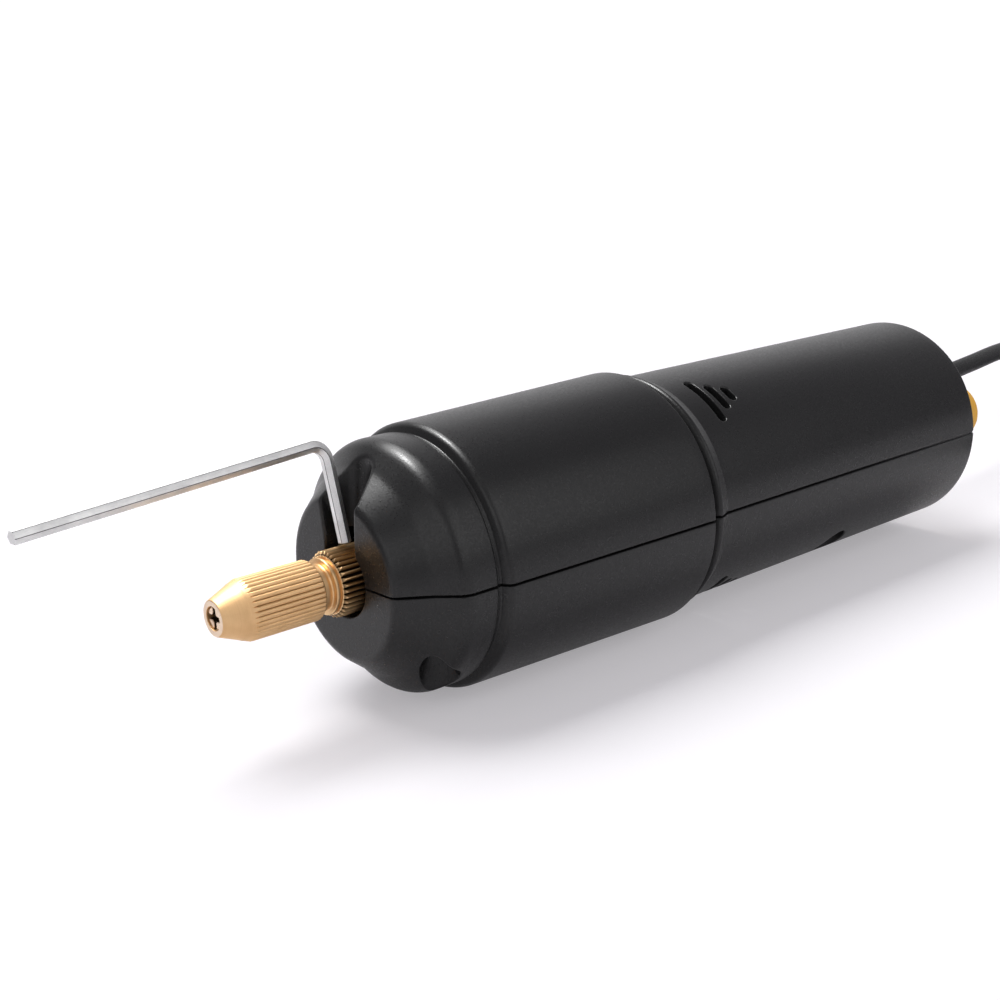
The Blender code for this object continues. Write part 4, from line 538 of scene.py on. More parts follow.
def inner_line(stations):
    """The inner wall's stations and radii, row by row beside the outer wall's."""
    inner_stations = np.clip(stations, NOSE_INSIDE, REAR_INSIDE)
    inner_radii = inner_radius(inner_stations)
    front = stations < NOSE_INSIDE + 1e-6
    share = np.linspace(0, 1, int(front.sum()))
    inner_radii[front] = NOSE_HOLE + (INNER_RADII[0] - NOSE_HOLE) * share
    return inner_stations, inner_radii


def inner_skin(stations, radii, first):
    """The inner wall's points, with columns from the first angle to the seam gap."""
    stations, radii, first = stations[:, None], radii[:, None], first[:, None]
    last = QUARTER - np.arcsin(SEAM / radii)
    angles = first + (QUARTER - first) * COLUMN_SHARES
    tail = np.repeat(last, len(LIP_TURNS), axis=1)
    angles = np.concatenate([np.minimum(angles[:, :-1], last), tail], axis=1)
    return around(stations, radii, angles)


def mirrored(points, side):
    out = points.copy()
    out[..., side] = 2 * AXIS[side] - out[..., side]
    return out


def window_rim(stations, angles, rows, columns):
    """The rim of a window as (station, angle), and its (u, v) places on a square's rim."""
    (r0, r1), (c0, c1) = rows, columns
    rim = [(r0, c) for c in range(c0, c1)] + [(r, c1) for r in range(r0, r1)]
    rim += [(r1, c) for c in range(c1, c0, -1)] + [(r, c0) for r in range(r1, r0, -1)]
    row, column = np.array(rim).T
    u, v = 2 * (row - r0) / (r1 - r0) - 1, 2 * (column - c0) / (c1 - c0) - 1
    return np.stack([stations[row], angles[row, column]], axis=1), u, v


def lip_rings(radius):
    """(Outward, down) steps of a rounded edge, from the skin to the wall."""
    return [(radius * (1 - math.cos(a)), radius * (1 - math.sin(a))) for a in LIP_TURNS]


def rear_wall(outer_arc, inner_arc, upper):
    """The flat rear wall of a half shell, with rounded openings for the button and the lead.

    Each opening is the part of a circle on this half, from its -Y end to its +Y end.
    """
    build = Build()
    outside, inside, ends = [], [], [np.stack([outer_arc[0], inner_arc[0]])]
    for (across, up), radius in ((BUTTON_PLACE, BUTTON_HOLE), (LEAD_PLACE, LEAD_HOLE)):
        height = up if upper else -up

        def arc(size, station):
            start = math.asin((SEAM - height) / size)
            turn = np.linspace(math.pi - start, start, 40)
            return on_axis(station, across + size * np.cos(turn), height + size * np.sin(turn))

        layers = [arc(radius + away, REAR_FACE - drop) for away, drop in lip_rings(REAR_LIP)]
        layers = np.stack([*layers, arc(radius, REAR_INSIDE)])
        build.grid(layers)
        outside.append(layers[0])
        inside.append(layers[-1])
        ends += [layers[:, 0], layers[:, -1]]
    ends.append(np.stack([outer_arc[-1], inner_arc[-1]]))
    build.polygon(np.concatenate([*outside, outer_arc[::-1]]))
    build.polygon(np.concatenate([*inside, inner_arc[::-1]]))
    for a, b in zip(ends[::2], ends[1::2]):
        build.polygon(np.concatenate([a, b[::-1]]))
    return build


class Half:
    """One side of a half shell, from its middle line to the seam, with its holes."""

    def __init__(self, stations, radii, angles, shift=0):
        self.stations, self.angles, self.shift = stations, angles, shift
        self.radius_at = radius_of(stations, radii)
        self.keep = np.ones((len(stations) - 1, angles.shape[1] - 1), bool)
        self.patches = Build()

    def skin(self, points, drop):
        return around(points[:, 0], self.radius_at(points[:, 0]) - drop, points[:, 1])

    def inner(self, points):
        return around(points[:, 0], inner_radius(points[:, 0]), points[:, 1])

    def window(self, station, count, columns):
        """Opens the grid from the row at a station on; gives the window's rim."""
        first = int(np.argmin(np.abs(self.stations - station)))
        low, high = (column + self.shift for column in columns)
        self.keep[first : first + count, low:high] = False
        return window_rim(self.stations, self.angles, (first, first + count), (low, high))

    def hole(self, rim, contour, wall, shares):
        """Rings from the outer window over the lip and down the wall to the inner window."""
        rings = lip_rings(HOLE_LIP)
        lip = contour(rings[0][0])
        layers = [self.skin(rim + (lip - rim) * share, 0.0) for share in shares]
        layers += [self.skin(contour(offset), drop) for offset, drop in rings]
        layers += [self.inner(wall + (rim - wall) * share) for share in (0.0, 0.5, 1.0)]
        self.patches.grid(np.stack(layers), wrap=True)

    def vents(self):
        """Slots with round ends: straight sides where |u| is 1, half circles elsewhere."""
        for k, (length, columns) in enumerate(zip(VENT_LENGTHS, VENT_COLUMNS)):
            station = VENT_STATION + k * VENT_PITCH
            across = (VENT_MIDDLE - columns, VENT_MIDDLE + columns)
            rim, u, v = self.window(VENT_GRID[VENT_ROWS * k], VENT_ROWS, across)
            radius, run = self.radius_at(station), length / 2 - VENT_HALF

            def contour(offset):
                half, end = VENT_HALF + offset, np.abs(v) >= 1 - 1e-9
                x = half * np.where(end, np.sin(u * QUARTER), u)
                y = np.where(end, np.sign(v) * (run + half * np.cos(u * QUARTER)), run * v)
                return np.stack([station + x, VENT_ANGLE + y / radius], axis=1)

            self.hole(rim, contour, contour(0.0), (0.0, 0.45, 0.8))

    def recess(self, rows, station, columns):
        """A round screw recess, straight up: a circle in plan, so its angle is asin(y / r)."""
        rim, u, v = self.window(rows[0], len(rows) - 1, columns)
        turn = np.arctan2(v, u)

        def contour(offset, radius_at=self.radius_at):
            s = station + (RECESS_RADIUS + offset) * np.cos(turn)
            y = SCREW_SPREAD + (RECESS_RADIUS + offset) * np.sin(turn)
            return np.stack([s, np.arcsin(np.clip(y / radius_at(s), -1, 0.995))], axis=1)

        self.hole(rim, contour, contour(0.0, inner_radius), (0.0, 0.3, 0.55, 0.8))

    def close(self, outer, inner, upper, extra=()):
        """Both sides of the half: skins, hole patches, seam faces, extra grids and rear wall."""
        build = Build()

        def placed(points):
            return points if upper else mirrored(points, 2)

        for flip in (False, True):

            def turned(points):
                return mirrored(placed(points), 1) if flip else placed(points)

            build.grid(turned(outer), self.keep)
            build.grid(turned(inner), self.keep)
            build.join(self.patches, turned)
            for points in (np.stack([outer[:, -1], inner[:, -1]], axis=1), *extra):
                build.grid(turned(points))
        far = [skin[-1, self.shift :] for skin in (outer, inner)]
        arcs = [np.concatenate([mirrored(arc, 1)[::-1], arc[1:]]) for arc in far]
        build.join(rear_wall(*arcs, upper), placed)
        return build


def lower_shell():
    """The lower half: the outline swept half a turn under the axis, 2 mm thick, with its holes."""
    recesses = [
        np.linspace(station - RECESS_REACH, station + RECESS_REACH, RECESS_ROWS)
        for station in SCREW_STATIONS
    ]
    stations, radii = shell_rows((recesses[0], VENT_GRID, recesses[1])).T
    angles = np.repeat(COLUMN_ANGLES[None], len(stations), axis=0)
    angles, drops = seam_columns(angles, radii)
    half = Half(stations, radii, angles)
    half.vents()
    for rows, station, columns in zip(recesses, SCREW_STATIONS, RECESS_COLUMNS):
        half.recess(rows, station, columns)
    outer = around(stations[:, None], radii[:, None] - drops, angles)
    inner = inner_skin(*inner_line(stations), np.zeros(len(stations)))
    return half.close(outer, inner, upper=False)


def slot_flare(points):
    """Turns the skin near the slot about the axis: the mouth opens out, the back draws in."""
    stations, y, z = points[..., 0] - AXIS[0], points[..., 1], points[..., 2] - AXIS[2]
    radii, angles = np.hypot(y, z), np.arctan2(y, z)
    knots = [18.9, 19.5, 20.3, 21.3, 22.3, 23.1, 23.9]
    ratio = np.interp(stations, knots, [1.12, 1.16, 1.08, 0.95, 0.88, 0.9, 1.0])
    ratio = 1 + (ratio - 1) * np.clip((z - 5.6) / 4.0, 0, 1)
    edge = np.arcsin(np.clip(SLOT_HALF / radii, 0, 0.9))
    near = 1 - smoothstep((angles - 1.25 * edge) / (1.75 * edge))
    return around(stations, radii, angles * (1 + (ratio - 1) * near))


def slot_wall_foot(rows, turns):
    """The foot of the slot's wall, on the slot's side and behind it, and the row of its corner.

    It climbs from the nose hole along the nose's inside, then runs level round the slot's back.
    """
    path = np.append(0, np.cumsum(np.hypot(*np.diff(rows, axis=0).T)))
    path /= path[-1]
    corner = 0.72
    hole_top = math.sqrt(NOSE_HOLE**2 - SLOT_HALF**2)
    foot_z = np.interp(path, [0, corner, 1], [hole_top, SLOT_FOOT, SLOT_FOOT])
    near_corner = int(np.argmin(np.abs(path - corner)))
    foot_z[near_corner] = SLOT_FOOT
    sides = []
    for width in (SLOT_HALF, SLOT_HALF + SLOT_WALL):
        back = places(SLOT_CENTRE + width * np.sin(turns), width * np.cos(turns), SLOT_FOOT)
        sides.append(np.concatenate([places(NOSE_INSIDE, width, foot_z)[:-1], back]))
    foot = np.stack(sides, axis=1)
    foot[: near_corner + 1, 1] = foot[: near_corner + 1, 0]
    return foot + AXIS, near_corner


def upper_shell():
    """The upper half: as the lower one, with the key slot open to the front.

    The slot's rim is a straight pair of lines and a half circle in plan. Beside it, extra columns
    carry a rounded edge; behind it those columns close up on the top line.
    """
    turns = np.radians(np.linspace(0, 90, 17))
    back = SLOT_CENTRE + SLOT_HALF * np.sin(turns)
    behind = back[-1] + SLOT_LIP + np.linspace(0.15, 5.2, 22)
    rows = shell_rows((np.concatenate([back, behind]), VENT_GRID))
    stations, radii = rows.T
    index = np.arange(len(rows))
    first_back = int(np.flatnonzero(stations == back[0])[-1])
    last_slot = first_back + len(turns) - 1
    in_slot = index <= last_slot
    in_back = in_slot & (index >= first_back)
    turn = np.where(in_slot, 0.0, QUARTER)
    turn[in_back] = turns
    sine, cosine = np.sin(turn)[:, None], np.cos(turn)[:, None]
    radius_at = radius_of(stations, radii)
    column_s, column_r = stations[:, None], radii[:, None]

    # The lip: offset from the rim in plan, dropped along the wall
    away, drop = SLOT_LIP * (1 - np.cos(LIP_TURNS))[::-1], SLOT_LIP * (1 - np.sin(LIP_TURNS))[::-1]
    half = SLOT_HALF + away
    lip_s = np.where(turn[:, None] > 0, SLOT_CENTRE + half * sine, column_s)
    lip_y = half * cosine
    lip_r = np.where(turn[:, None] > 0, radius_at(lip_s), column_r)
    lip_z = np.sqrt(np.maximum(lip_r**2 - lip_y**2, 0))
    step = np.gradient(rows, axis=0)
    step /= np.maximum(np.hypot(*step.T), 1e-12)[:, None]
    tangent = step[:, 1:] * cosine + step[:, :1] * lip_y / lip_r * sine
    upright = -step[:, :1] * lip_z / lip_r
    size = np.maximum(np.hypot(tangent, upright), 1e-9)
    shift, fall = drop * tangent / size, drop * upright / size
    lip = on_axis(lip_s + shift * cosine, lip_y - shift * sine, lip_z + fall)

    # Main columns from the lip's outer line to the seam
    first = np.where(in_slot, np.arctan2(lip_y[:, -1], lip_z[:, -1]), 0.0)[:, None]
    angles, drops = seam_columns(first + (QUARTER - first) * COLUMN_SHARES, radii)
    fade = np.ones(angles.shape[1])
    fade[: len(COLUMN_SHARES)] = COLUMN_SHARES
    shift = np.where(in_slot, lip_s[:, -1] - stations, 0.0)[:, None]
    main_s = column_s + shift * (1 - smoothstep(fade / 0.3))
    main_r = np.where(np.abs(main_s - column_s) > 1e-6, radius_at(main_s), column_r)
    main = around(main_s, main_r - drops, angles)
    outer = np.concatenate([lip[:, :SLOT_COLUMNS], main], axis=1)
    outer[~in_slot, :SLOT_COLUMNS] = main[~in_slot, :1]
    outer = slot_flare(outer)

    # The inner wall keeps clear of the slot's wall
    foot, corner = slot_wall_foot(rows[: first_back + 1], turns)
    inner_s, inner_r = inner_line(stations)
    wide = SLOT_HALF + SLOT_WALL
    spread = np.where(in_back, turn, 0.0)
    inner_s = np.where(in_back, SLOT_CENTRE + wide * np.sin(spread), inner_s)
    tail = (index > last_slot) & (stations < behind[-1] + 1e-3)
    share = np.linspace(0, 1, int(tail.sum()) + 1)[1:]
    inner_s[tail] = SLOT_CENTRE + wide + (behind[-1] - SLOT_CENTRE - wide) * share
    inner_r = np.where(in_back | tail, inner_radius(inner_s), inner_r)
    front, middle = index <= corner, (index > corner) & (index < first_back)
    climb = np.hypot(SLOT_HALF, SLOT_FOOT)
    inner_r[front] = np.hypot(SLOT_HALF, foot[: corner + 1, 0, 2] - AXIS[2])
    share = np.linspace(0, 1, int(middle.sum()) + 1)[1:]
    inner_r[middle] = climb + (INNER_RADII[0] - climb) * share
    inner_s[middle] = NOSE_INSIDE
    half_width = np.where(front, SLOT_HALF, wide * np.cos(spread)) * in_slot
    inner = inner_skin(inner_s, inner_r, np.arcsin(np.clip(half_width / inner_r, 0, 1)))
    inner = np.concatenate([np.repeat(inner[:, :1], SLOT_COLUMNS, axis=1), inner], axis=1)

    angles = np.concatenate([np.repeat(angles[:, :1], SLOT_COLUMNS, axis=1), angles], axis=1)
    side = Half(stations, radii, angles, SLOT_COLUMNS)
    side.keep[last_slot:, :SLOT_COLUMNS] = False
    side.vents()
    wall = [outer[in_slot, 0], foot[:, 0], foot[:, 1], inner[in_slot, 0]]
    return side.close(outer, inner, True, [np.stack(wall, axis=1)])


def screw_wells():
    """Four cups that carry the screws: rings at two radii, closed at the seat and near the seam."""
    build = Build()
    turn = even_angles(48)
    bore, outside, skirt = RECESS_RADIUS + 0.03, RECESS_RADIUS + 1.0, None
    for station in SCREW_STATIONS:
        for flank in (-1, 1):

            def ring(radius, height):
                s, y = station + radius * np.cos(turn), SCREW_SPREAD + radius * np.sin(turn)
                rim = inner_radius(s) + 0.7
                z = -np.sqrt(np.maximum(rim**2 - y**2, 0.4**2))
                return on_axis(s, flank * y, z if height is skirt else np.maximum(z, height))

            layers = (
                (bore, skirt), (bore, -SCREW_SEAT), (SCREW_HOLE, -SCREW_SEAT),
                (SCREW_HOLE, -SEAM), (outside, -SEAM), (outside, skirt), (bore, skirt),
            )
            build.grid(np.stack([ring(*layer) for layer in layers]), wrap=True)
    return build


def seam_tongue():
    """A strip inside both walls along the seam, so that the joint is dark and closed."""
    build = Build()
    stations = [21.6, 24.2, 26.2, 30.2, 31.6, 34.0, 67.0, 68.6, 70.4, 72.5, 134.0, 136.8]
    stations = np.array(stations)
    outline = divided(outer_outline(), 1.0)
    outline = outline[(outline[:, 0] > 20.0) & (outline[:, 1] > 6.0) & (outline[:, 0] < 136.95)]
    outer = np.interp(stations, *outline.T)
    middle = (np.minimum(outer, 17.6) + inner_radius(np.minimum(stations, 134.0))) / 2
    middle[-2:] = outer[-2:] - 0.4
    half, tall = 0.25, 0.7
    corners = ((-half, -tall), (half, -tall), (half, tall), (-half, tall))
    for flank in (-1, 1):
        sides = [on_axis(stations, flank * (middle + y), z) for y, z in corners]
        build.bar(np.stack(sides, axis=1))
    return build


def make_housing():
    for name, build, nodes, sharp in (
        ("housing_upper", upper_shell(), ("upper_housing",), 40),
        ("housing_lower", lower_shell(), ("lower_housing",), 40),
        ("screw_wells", screw_wells(), (), 32),
        ("seam_tongue", seam_tongue(), (), 32),
    ):
        build.finish(name, "matt_black_plastic", "drill", "black_plastic", nodes, sharp)


# Chuck


def make_nut(sizes):
    """The nut: its radius is the smaller of the turned outline and the ridged cylinder.

    Ridges: r = R - d * (1 - |sin(n a / 2)|^0.5), with n ridges; where the cone is inside the
    ridges, the cone shows, so the grooves run out in scallops.
    """
    outline = rounded(
        [
            (2.1, 1.6, 0), (0.0, 1.54, 0.06), (0.0, 2.3, 0.22), (4.2, NUT_RADIUS, 0.12),
            (13.72, NUT_RADIUS, 0.06), (14.1, 3.62, 0.08), (14.1, 3.5, 0),
        ]
    )
    fine = divided(outline, 0.5)
    knurled = (fine[:, 0] > 3.2) & (fine[:, 1] > 3.3)
    ends = (3.2, 4.3, 22), (4.5, 13.1, 12), (13.3, 14.08, 18)
    stations = np.concatenate([np.linspace(*end) for end in ends])
    rows = np.concatenate(
        [
            fine[(fine[:, 0] < 3.2) & (np.arange(len(fine)) < np.argmax(knurled))],
            np.stack([stations, np.interp(stations, *fine[knurled].T)], axis=1),
            [(14.1, 3.6), (14.1, 3.5), (4.6, 3.5), (2.4, 2.3), (2.1, 1.6)],
        ]
    )
    angles = even_angles(sizes.nut_ridges * 10)
    wave = np.abs(np.sin(sizes.nut_ridges * angles / 2)) ** 0.5
    ridge = NUT_RADIUS - sizes.nut_ridge_depth / MM * (1 - wave)
    radii = np.minimum(rows[:, 1:], np.where(rows[:, 1:] > 3.55, ridge, np.inf))
    points = around(rows[:, :1], radii, angles)
    build = Build()
    build.grid(np.concatenate([points, points[:1]]), wrap=True)
    nut = build.finish("nut", "turned_brass", "nut", "chuck_brass", ("collet_nut",), 28)
    # The flat rim takes the paler jaw brass: a painted highlight, lighter than the cone
    rim = (AXIS[0] + 0.05) * MM
    repaint(nut, "bright_jaws", lambda face: face.center.x < rim and face.normal.x < -0.9)


def jaw_section(outside, shrink):
    """A quarter ring between bore and outside, set back by the gap, with its corners cut twice."""
    outside, inside, low = outside - shrink, JAW_BORE + shrink, JAW_GAP + shrink
    a0, a1 = math.asin(low / outside), math.asin(min(low / inside, 0.99))
    arc, back = np.linspace(a0, QUARTER - a0, 10), np.linspace(QUARTER - a1, a1, 6)
    corners = np.concatenate([outside * np.exp(1j * arc), inside * np.exp(1j * back)])
    for _ in range(2):
        following = np.roll(corners, -1)
        cut = [0.75 * corners + 0.25 * following, 0.25 * corners + 0.75 * following]
        corners = np.stack(cut, axis=1).reshape(-1)
    return corners


def make_jaws():
    """Four jaws: the section carried along (station, radius, shrink), then a sleeve behind."""
    build = Build()
    line = (
        (0.2, 1.42, 0.2), (0.2, 1.42, 0.09), (0.23, 1.42, 0.03), (0.32, 1.42, 0),
        (2.1, 1.9, 0), (6.6, 2.0, 0),
    )
    for quarter in range(4):
        layers = []
        for station, radius, shrink in line:
            corners = jaw_section(radius, shrink) * np.exp(1j * quarter * QUARTER)
            layers.append(on_axis(station, corners.real, corners.imag))
        build.bar(layers)
    revolve(build, [(6.4, 2.0), (9.2, 2.0), (9.2, 0.6), (6.4, 0.6), (6.4, 2.0)], 48)
    jaws = build.finish("jaws", "bright_jaws", "jaws", "chuck_brass", ("collet",), 30)
    # Behind the tip the slits are dark
    front, rear = (AXIS[0] + 0.3) * MM, (AXIS[0] + 7.0) * MM
    repaint(jaws, "slit_shade", lambda face: front < face.center.x < rear)


def make_chuck(sizes):
    """Neck, grooved flange and toothed collar: each tooth is a straight-sided V ridge.

    Teeth: r = R - d * t, where t runs 0 to 1 to 0 over one pitch as a steep triangle wave.
    """
    outline = rounded(
        [
            (4.5, 2.3, 0), (4.5, 3.05, 0.1), (4.7, 3.2, 0.1), (14.9, 3.2, 0.3), (15.2, 3.02, 0.25),
            (15.55, 3.02, 0.2), (15.62, 3.75, 0.16), (16.12, 3.75, 0.16), (16.16, 3.4, 0.1),
            (COLLAR_START, 3.4, 0.08),
        ],
        5,
    )
    columns = sizes.collar_teeth * 8
    angles = even_angles(columns)
    wave = np.clip(np.abs(2 * (np.arange(columns) % 8) / 8 - 1) * 1.12 - 0.06, 0, 1)
    ridge = COLLAR_RADIUS - sizes.collar_tooth_depth / MM * wave
    collar = np.linspace(16.44, 16.95, 8), np.linspace(17.6, 23.2, 8), np.linspace(23.5, 24.0, 6)
    chamfer = np.linspace(3.84, 4.45, 8), np.full(8, 4.45), np.linspace(4.45, 3.95, 6)
    stations = np.concatenate([[COLLAR_START, COLLAR_START], *collar])
    body = np.minimum(np.concatenate([[3.55, 3.78], *chamfer])[:, None], ridge)
    bottom, shaft_hole, bore_end = 18.1, 1.45, 9.5
    smooth, tail = (
        np.repeat(np.asarray(rows)[:, None], columns, axis=1)
        for rows in (outline[:, 1], [shaft_hole, shaft_hole])
    )
    rows = np.concatenate([outline[:, 0], stations, [COLLAR_END, bottom]])[:, None]
    points = around(rows, np.concatenate([smooth, body, tail]), angles)
    inside = around(np.array([[4.5], [bore_end]]), 2.3, angles)
    build = Build()
    for grid, end in ((points, bottom), (inside, bore_end)):
        build.grid(grid, wrap=True)
        build.fan(grid[-1], on_axis(end, 0, 0))
    build.finish("chuck", "bright_brass", "spindle", "chuck_brass", ("chuck_body",), 24)


# Key, button and strain relief


def make_key(sizes):
    """A hexagon with rounded edges carried along a bent path: up, round the bend, then forward."""
    cosine = math.cos(math.radians(30))
    radius = sizes.key_across_flats / MM / (2 * cosine)
    rise, reach = KEY_SHORT - radius, KEY_LONG - radius
    ring = []
    for k in range(6):
        middle = math.radians(60 * k + sizes.key_roll)
        centre = (radius - KEY_EDGE / cosine) * np.exp(1j * middle)
        ring.append(centre + KEY_EDGE * np.exp(1j * (middle + np.radians([-30, -10, 10, 30]))))
    ring = np.concatenate(ring)
    path = [(0.0, height, 0.0) for height in (0.0, KEY_END, 3.0, 7.0)]
    for a in np.linspace(0, QUARTER, 17):
        path.append((KEY_BEND * math.cos(a) - KEY_BEND, rise + KEY_BEND * (math.sin(a) - 1), a))
    path += [(x, rise, QUARTER) for x in (-12, -24, -34, -reach + KEY_END, -reach)]
    x, z, turn = np.array(path).T[:, :, None]
    scale = np.ones_like(x)
    scale[0] = scale[-1] = 0.87
    # Across the bar: one axis stays along Y, the other turns with the path
    across, level = scale * ring.real, scale * ring.imag
    points = places(x + across * np.cos(turn), level, z + across * np.sin(turn))
    build = Build()
    build.bar(points @ KEY_TURN.T + KEY_FOOT)
    key = build.finish("key", "key_steel", "key", "bright_steel", ("hex_key",), 28)

    def edge_face(face):
        corners = [key.data.vertices[i].co for i in face.vertices]
        sides = [(a - b).length for a, b in zip(corners, corners[1:] + corners[:1])]
        return len(sides) < 6 and min(sides) < 0.06 * MM

    # Painted shade: the narrow rounded edges between the flats are near black
    repaint(key, "key_corners", edge_face)


def make_button():
    """The button: a low dome r(s) with a rounded edge, turned about its own axis."""
    dome = np.radians(np.linspace(0, 90, 16))
    crown, edge, start, end = 0.3, 0.35, 134.3, 142.9
    shoulder, flat = end - crown - edge * (1 - np.sin(dome)), BUTTON_RADIUS - edge
    arc = np.stack([shoulder, BUTTON_RADIUS - edge * (1 - np.cos(dome))], axis=1)
    top = np.linspace(1, 0, 10)[1:]
    cap = np.stack([end - crown * top**2, flat * top], axis=1)
    build = Build()
    outline = np.concatenate([[(start, 0), (start, BUTTON_RADIUS)], arc, cap])
    revolve(build, outline, 96, BUTTON_PLACE)
    nodes = ("power_button",)
    build.finish("button", "yellow_button_plastic", "push_button", "yellow_plastic", nodes, 50)


def make_strain_relief():
    """The sleeve round the lead: its radius falls rearward, with four rounded ribs."""
    front = [
        (129.4, 0), (129.4, 2.15), (133.1, 2.15), (133.1, 4.3), (133.2, 4.4), (134.6, 4.4),
        (134.7, 4.3), (134.7, 3.0), (137.2, 3.0),
    ]
    share = np.linspace(0, 1, 90)
    stations = 137.3 + (SLEEVE_END - 137.3) * share
    phase = (share * 4) % 1
    groove = smoothstep((phase - 0.58) / 0.1) * (1 - smoothstep((phase - 0.9) / 0.1))
    radii = 3.0 + (SLEEVE_TIP_RADIUS - 3.0) * share - 0.4 * groove * (share < 0.76)
    sleeve = np.stack([stations, radii], axis=1)
    build = Build()
    outline = np.concatenate([front, sleeve, [(SLEEVE_END, 2.0), (SLEEVE_END, 0)]])
    revolve(build, outline, 64, LEAD_PLACE)
    return build.finish("lead_sleeve", "black_rubber", "drill", "black_rubber", ("strain_relief",))


# Lead


def through_route(route, spacing):
    """Points on the Catmull-Rom curve through a route."""
    route = np.asarray(route, float)
    ends = np.concatenate([[2 * route[0] - route[1]], route, [2 * route[-1] - route[-2]]])
    out = []
    for a, b, c, d in zip(ends, ends[1:], ends[2:], ends[3:]):
        count = max(2, int(round(np.linalg.norm(c - b) / spacing)))
        t = (np.arange(count) / count)[:, None]
        square, cube = 2 * a - 5 * b + 4 * c - d, 3 * b - a - 3 * c + d
        out.append(0.5 * (2 * b + (c - a) * t + square * t**2 + cube * t**3))
    return np.concatenate([*out, route[-1:]])


def lead_route():
    """The free stretch, as the solids have it: out of the sleeve, along the view, to the coil."""
    start = AXIS + np.array([SLEEVE_END + GAP, *LEAD_PLACE])
    top = CORD_DIAMETER / 2 + 3 * COIL_PITCH
    behind = (
        (27.7, 6.9, 21.6), (39.7, 8.1, 22.0), (53.1, 10.2, 22.05), (67.7, 12.6, 20.9),
        (79.7, 14.0, 17.8), (89.7, COIL_ACROSS, 14.6), (COIL_BEHIND, COIL_ACROSS, top),
    )
    rear = AXIS[0] + REAR_FACE
    route = [start, start + np.array([2 * CORD_DIAMETER, 0, 0])]
    return route + [(rear + x, y, z) for x, y, z in behind]


def coil_route(spare):
    """Seven and a half turns in four layers: the radius falls and rises by layer, the height drops.

    At the tie the turns lie level; elsewhere they are lifted a little.
    """
    layer = COIL_TURNS / COIL_LAYERS
    outer = spare / (COIL_TURNS * math.tau) + COIL_PITCH * layer / 2
    middle = AXIS[0] + REAR_FACE + COIL_BEHIND + GAP + CORD_DIAMETER
    centre = np.array([middle, COIL_ACROSS - outer, 0])
    u = np.linspace(0, COIL_TURNS, int(COIL_TURNS * 48) + 1)
    angle = QUARTER - math.tau * u
    phase = u % (2 * layer)
    dropped = sum(smoothstep((u - layer * k) / 0.5 + 0.5) for k in (1, 2, 3))
    away = np.abs(np.arctan2(np.sin(angle), np.cos(angle)))
    lift = 1.2 * (1 - smoothstep((away - math.radians(14)) / math.radians(38)))
    radius = outer - COIL_PITCH * np.minimum(phase, 2 * layer - phase)
    height = CORD_DIAMETER / 2 + (3 - dropped) * COIL_PITCH + lift
    points = centre + places(radius * np.cos(angle), radius * np.sin(angle), height)
    back = np.array([[CORD_DIAMETER, 0, 0]])
    return np.concatenate([points[:1] - back, points, points[-1:] - back]), centre, outer


def tail_route(start):
    share = np.linspace(0, 1, 13)
    height = start[2] + (PLUG_MIDDLE - start[2]) * smoothstep((share - 0.17) / 0.66)
    return places(start[0] - GAP - TAIL_LENGTH * share, start[1], height)


def tube(path, radius, sides):
    """A round bar carried along a path: each ring stands square to the path's direction.

    The ring's first axis is the level direction across the path, its second is square to both.
    """
    ahead = np.gradient(path, axis=0)
    ahead /= np.linalg.norm(ahead, axis=1)[:, None]
    level = np.cross(np.array([0.0, 0.0, 1.0]), ahead)
    level /= np.linalg.norm(level, axis=1)[:, None]
    turn = even_angles(sides)[None, :, None]
    ring = np.cos(turn) * level[:, None] + np.sin(turn) * np.cross(ahead, level)[:, None]
    build = Build()
    build.bar(path[:, None] + radius * ring)
    return build


def box_loop(width, height, round_by, steps=6):
    """A rounded rectangle's outline, centred on 0."""
    out = []
    for k, (sx, sz) in enumerate(((1, 1), (-1, 1), (-1, -1), (1, -1))):
        turn = QUARTER * k + np.linspace(0, QUARTER, steps + 1)
        centre = np.array([sx * (width / 2 - round_by), sz * (height / 2 - round_by)])
        out.append(centre + round_by * np.stack([np.cos(turn), np.sin(turn)], axis=1))
    return np.concatenate(out)


def make_tie(centre, outer):
    """A strap round the bundle: rounded loops side by side, outer ones forth, inner ones back."""
    half, width, thick = CORD_DIAMETER / 2, 3.0, 0.85
    inner = outer - COIL_PITCH * COIL_TURNS / COIL_LAYERS
    low_z, high_z = 0.9, 3 * COIL_PITCH + CORD_DIAMETER + 1.5
    long, tall = outer - inner + 2 * (half + GAP), high_z - low_z
    middle_x, middle_z = centre[0] + (outer + inner) / 2, (low_z + high_z) / 2
    ribs = np.linspace(-width / 2, width / 2, 7)
    loops = [(y, thick - edge, 1.6) for y, edge in zip(ribs, (0.25, 0.05, 0, 0, 0, 0.05, 0.25))]
    loops += [(y, 0.0, 0.9) for y in ribs[::-1]]
    rings = []
    for y, grow, round_by in loops + loops[:1]:
        x, z = box_loop(long + 2 * grow, tall + 2 * grow, round_by, 8).T
        rings.append(places(middle_x - x, centre[1] + y, middle_z - z))
    build = Build()
    build.grid(np.stack(rings), wrap=True)
    return build.finish("strap", "tie_strap", "drill", "tie_strap", ("coil_tie",))


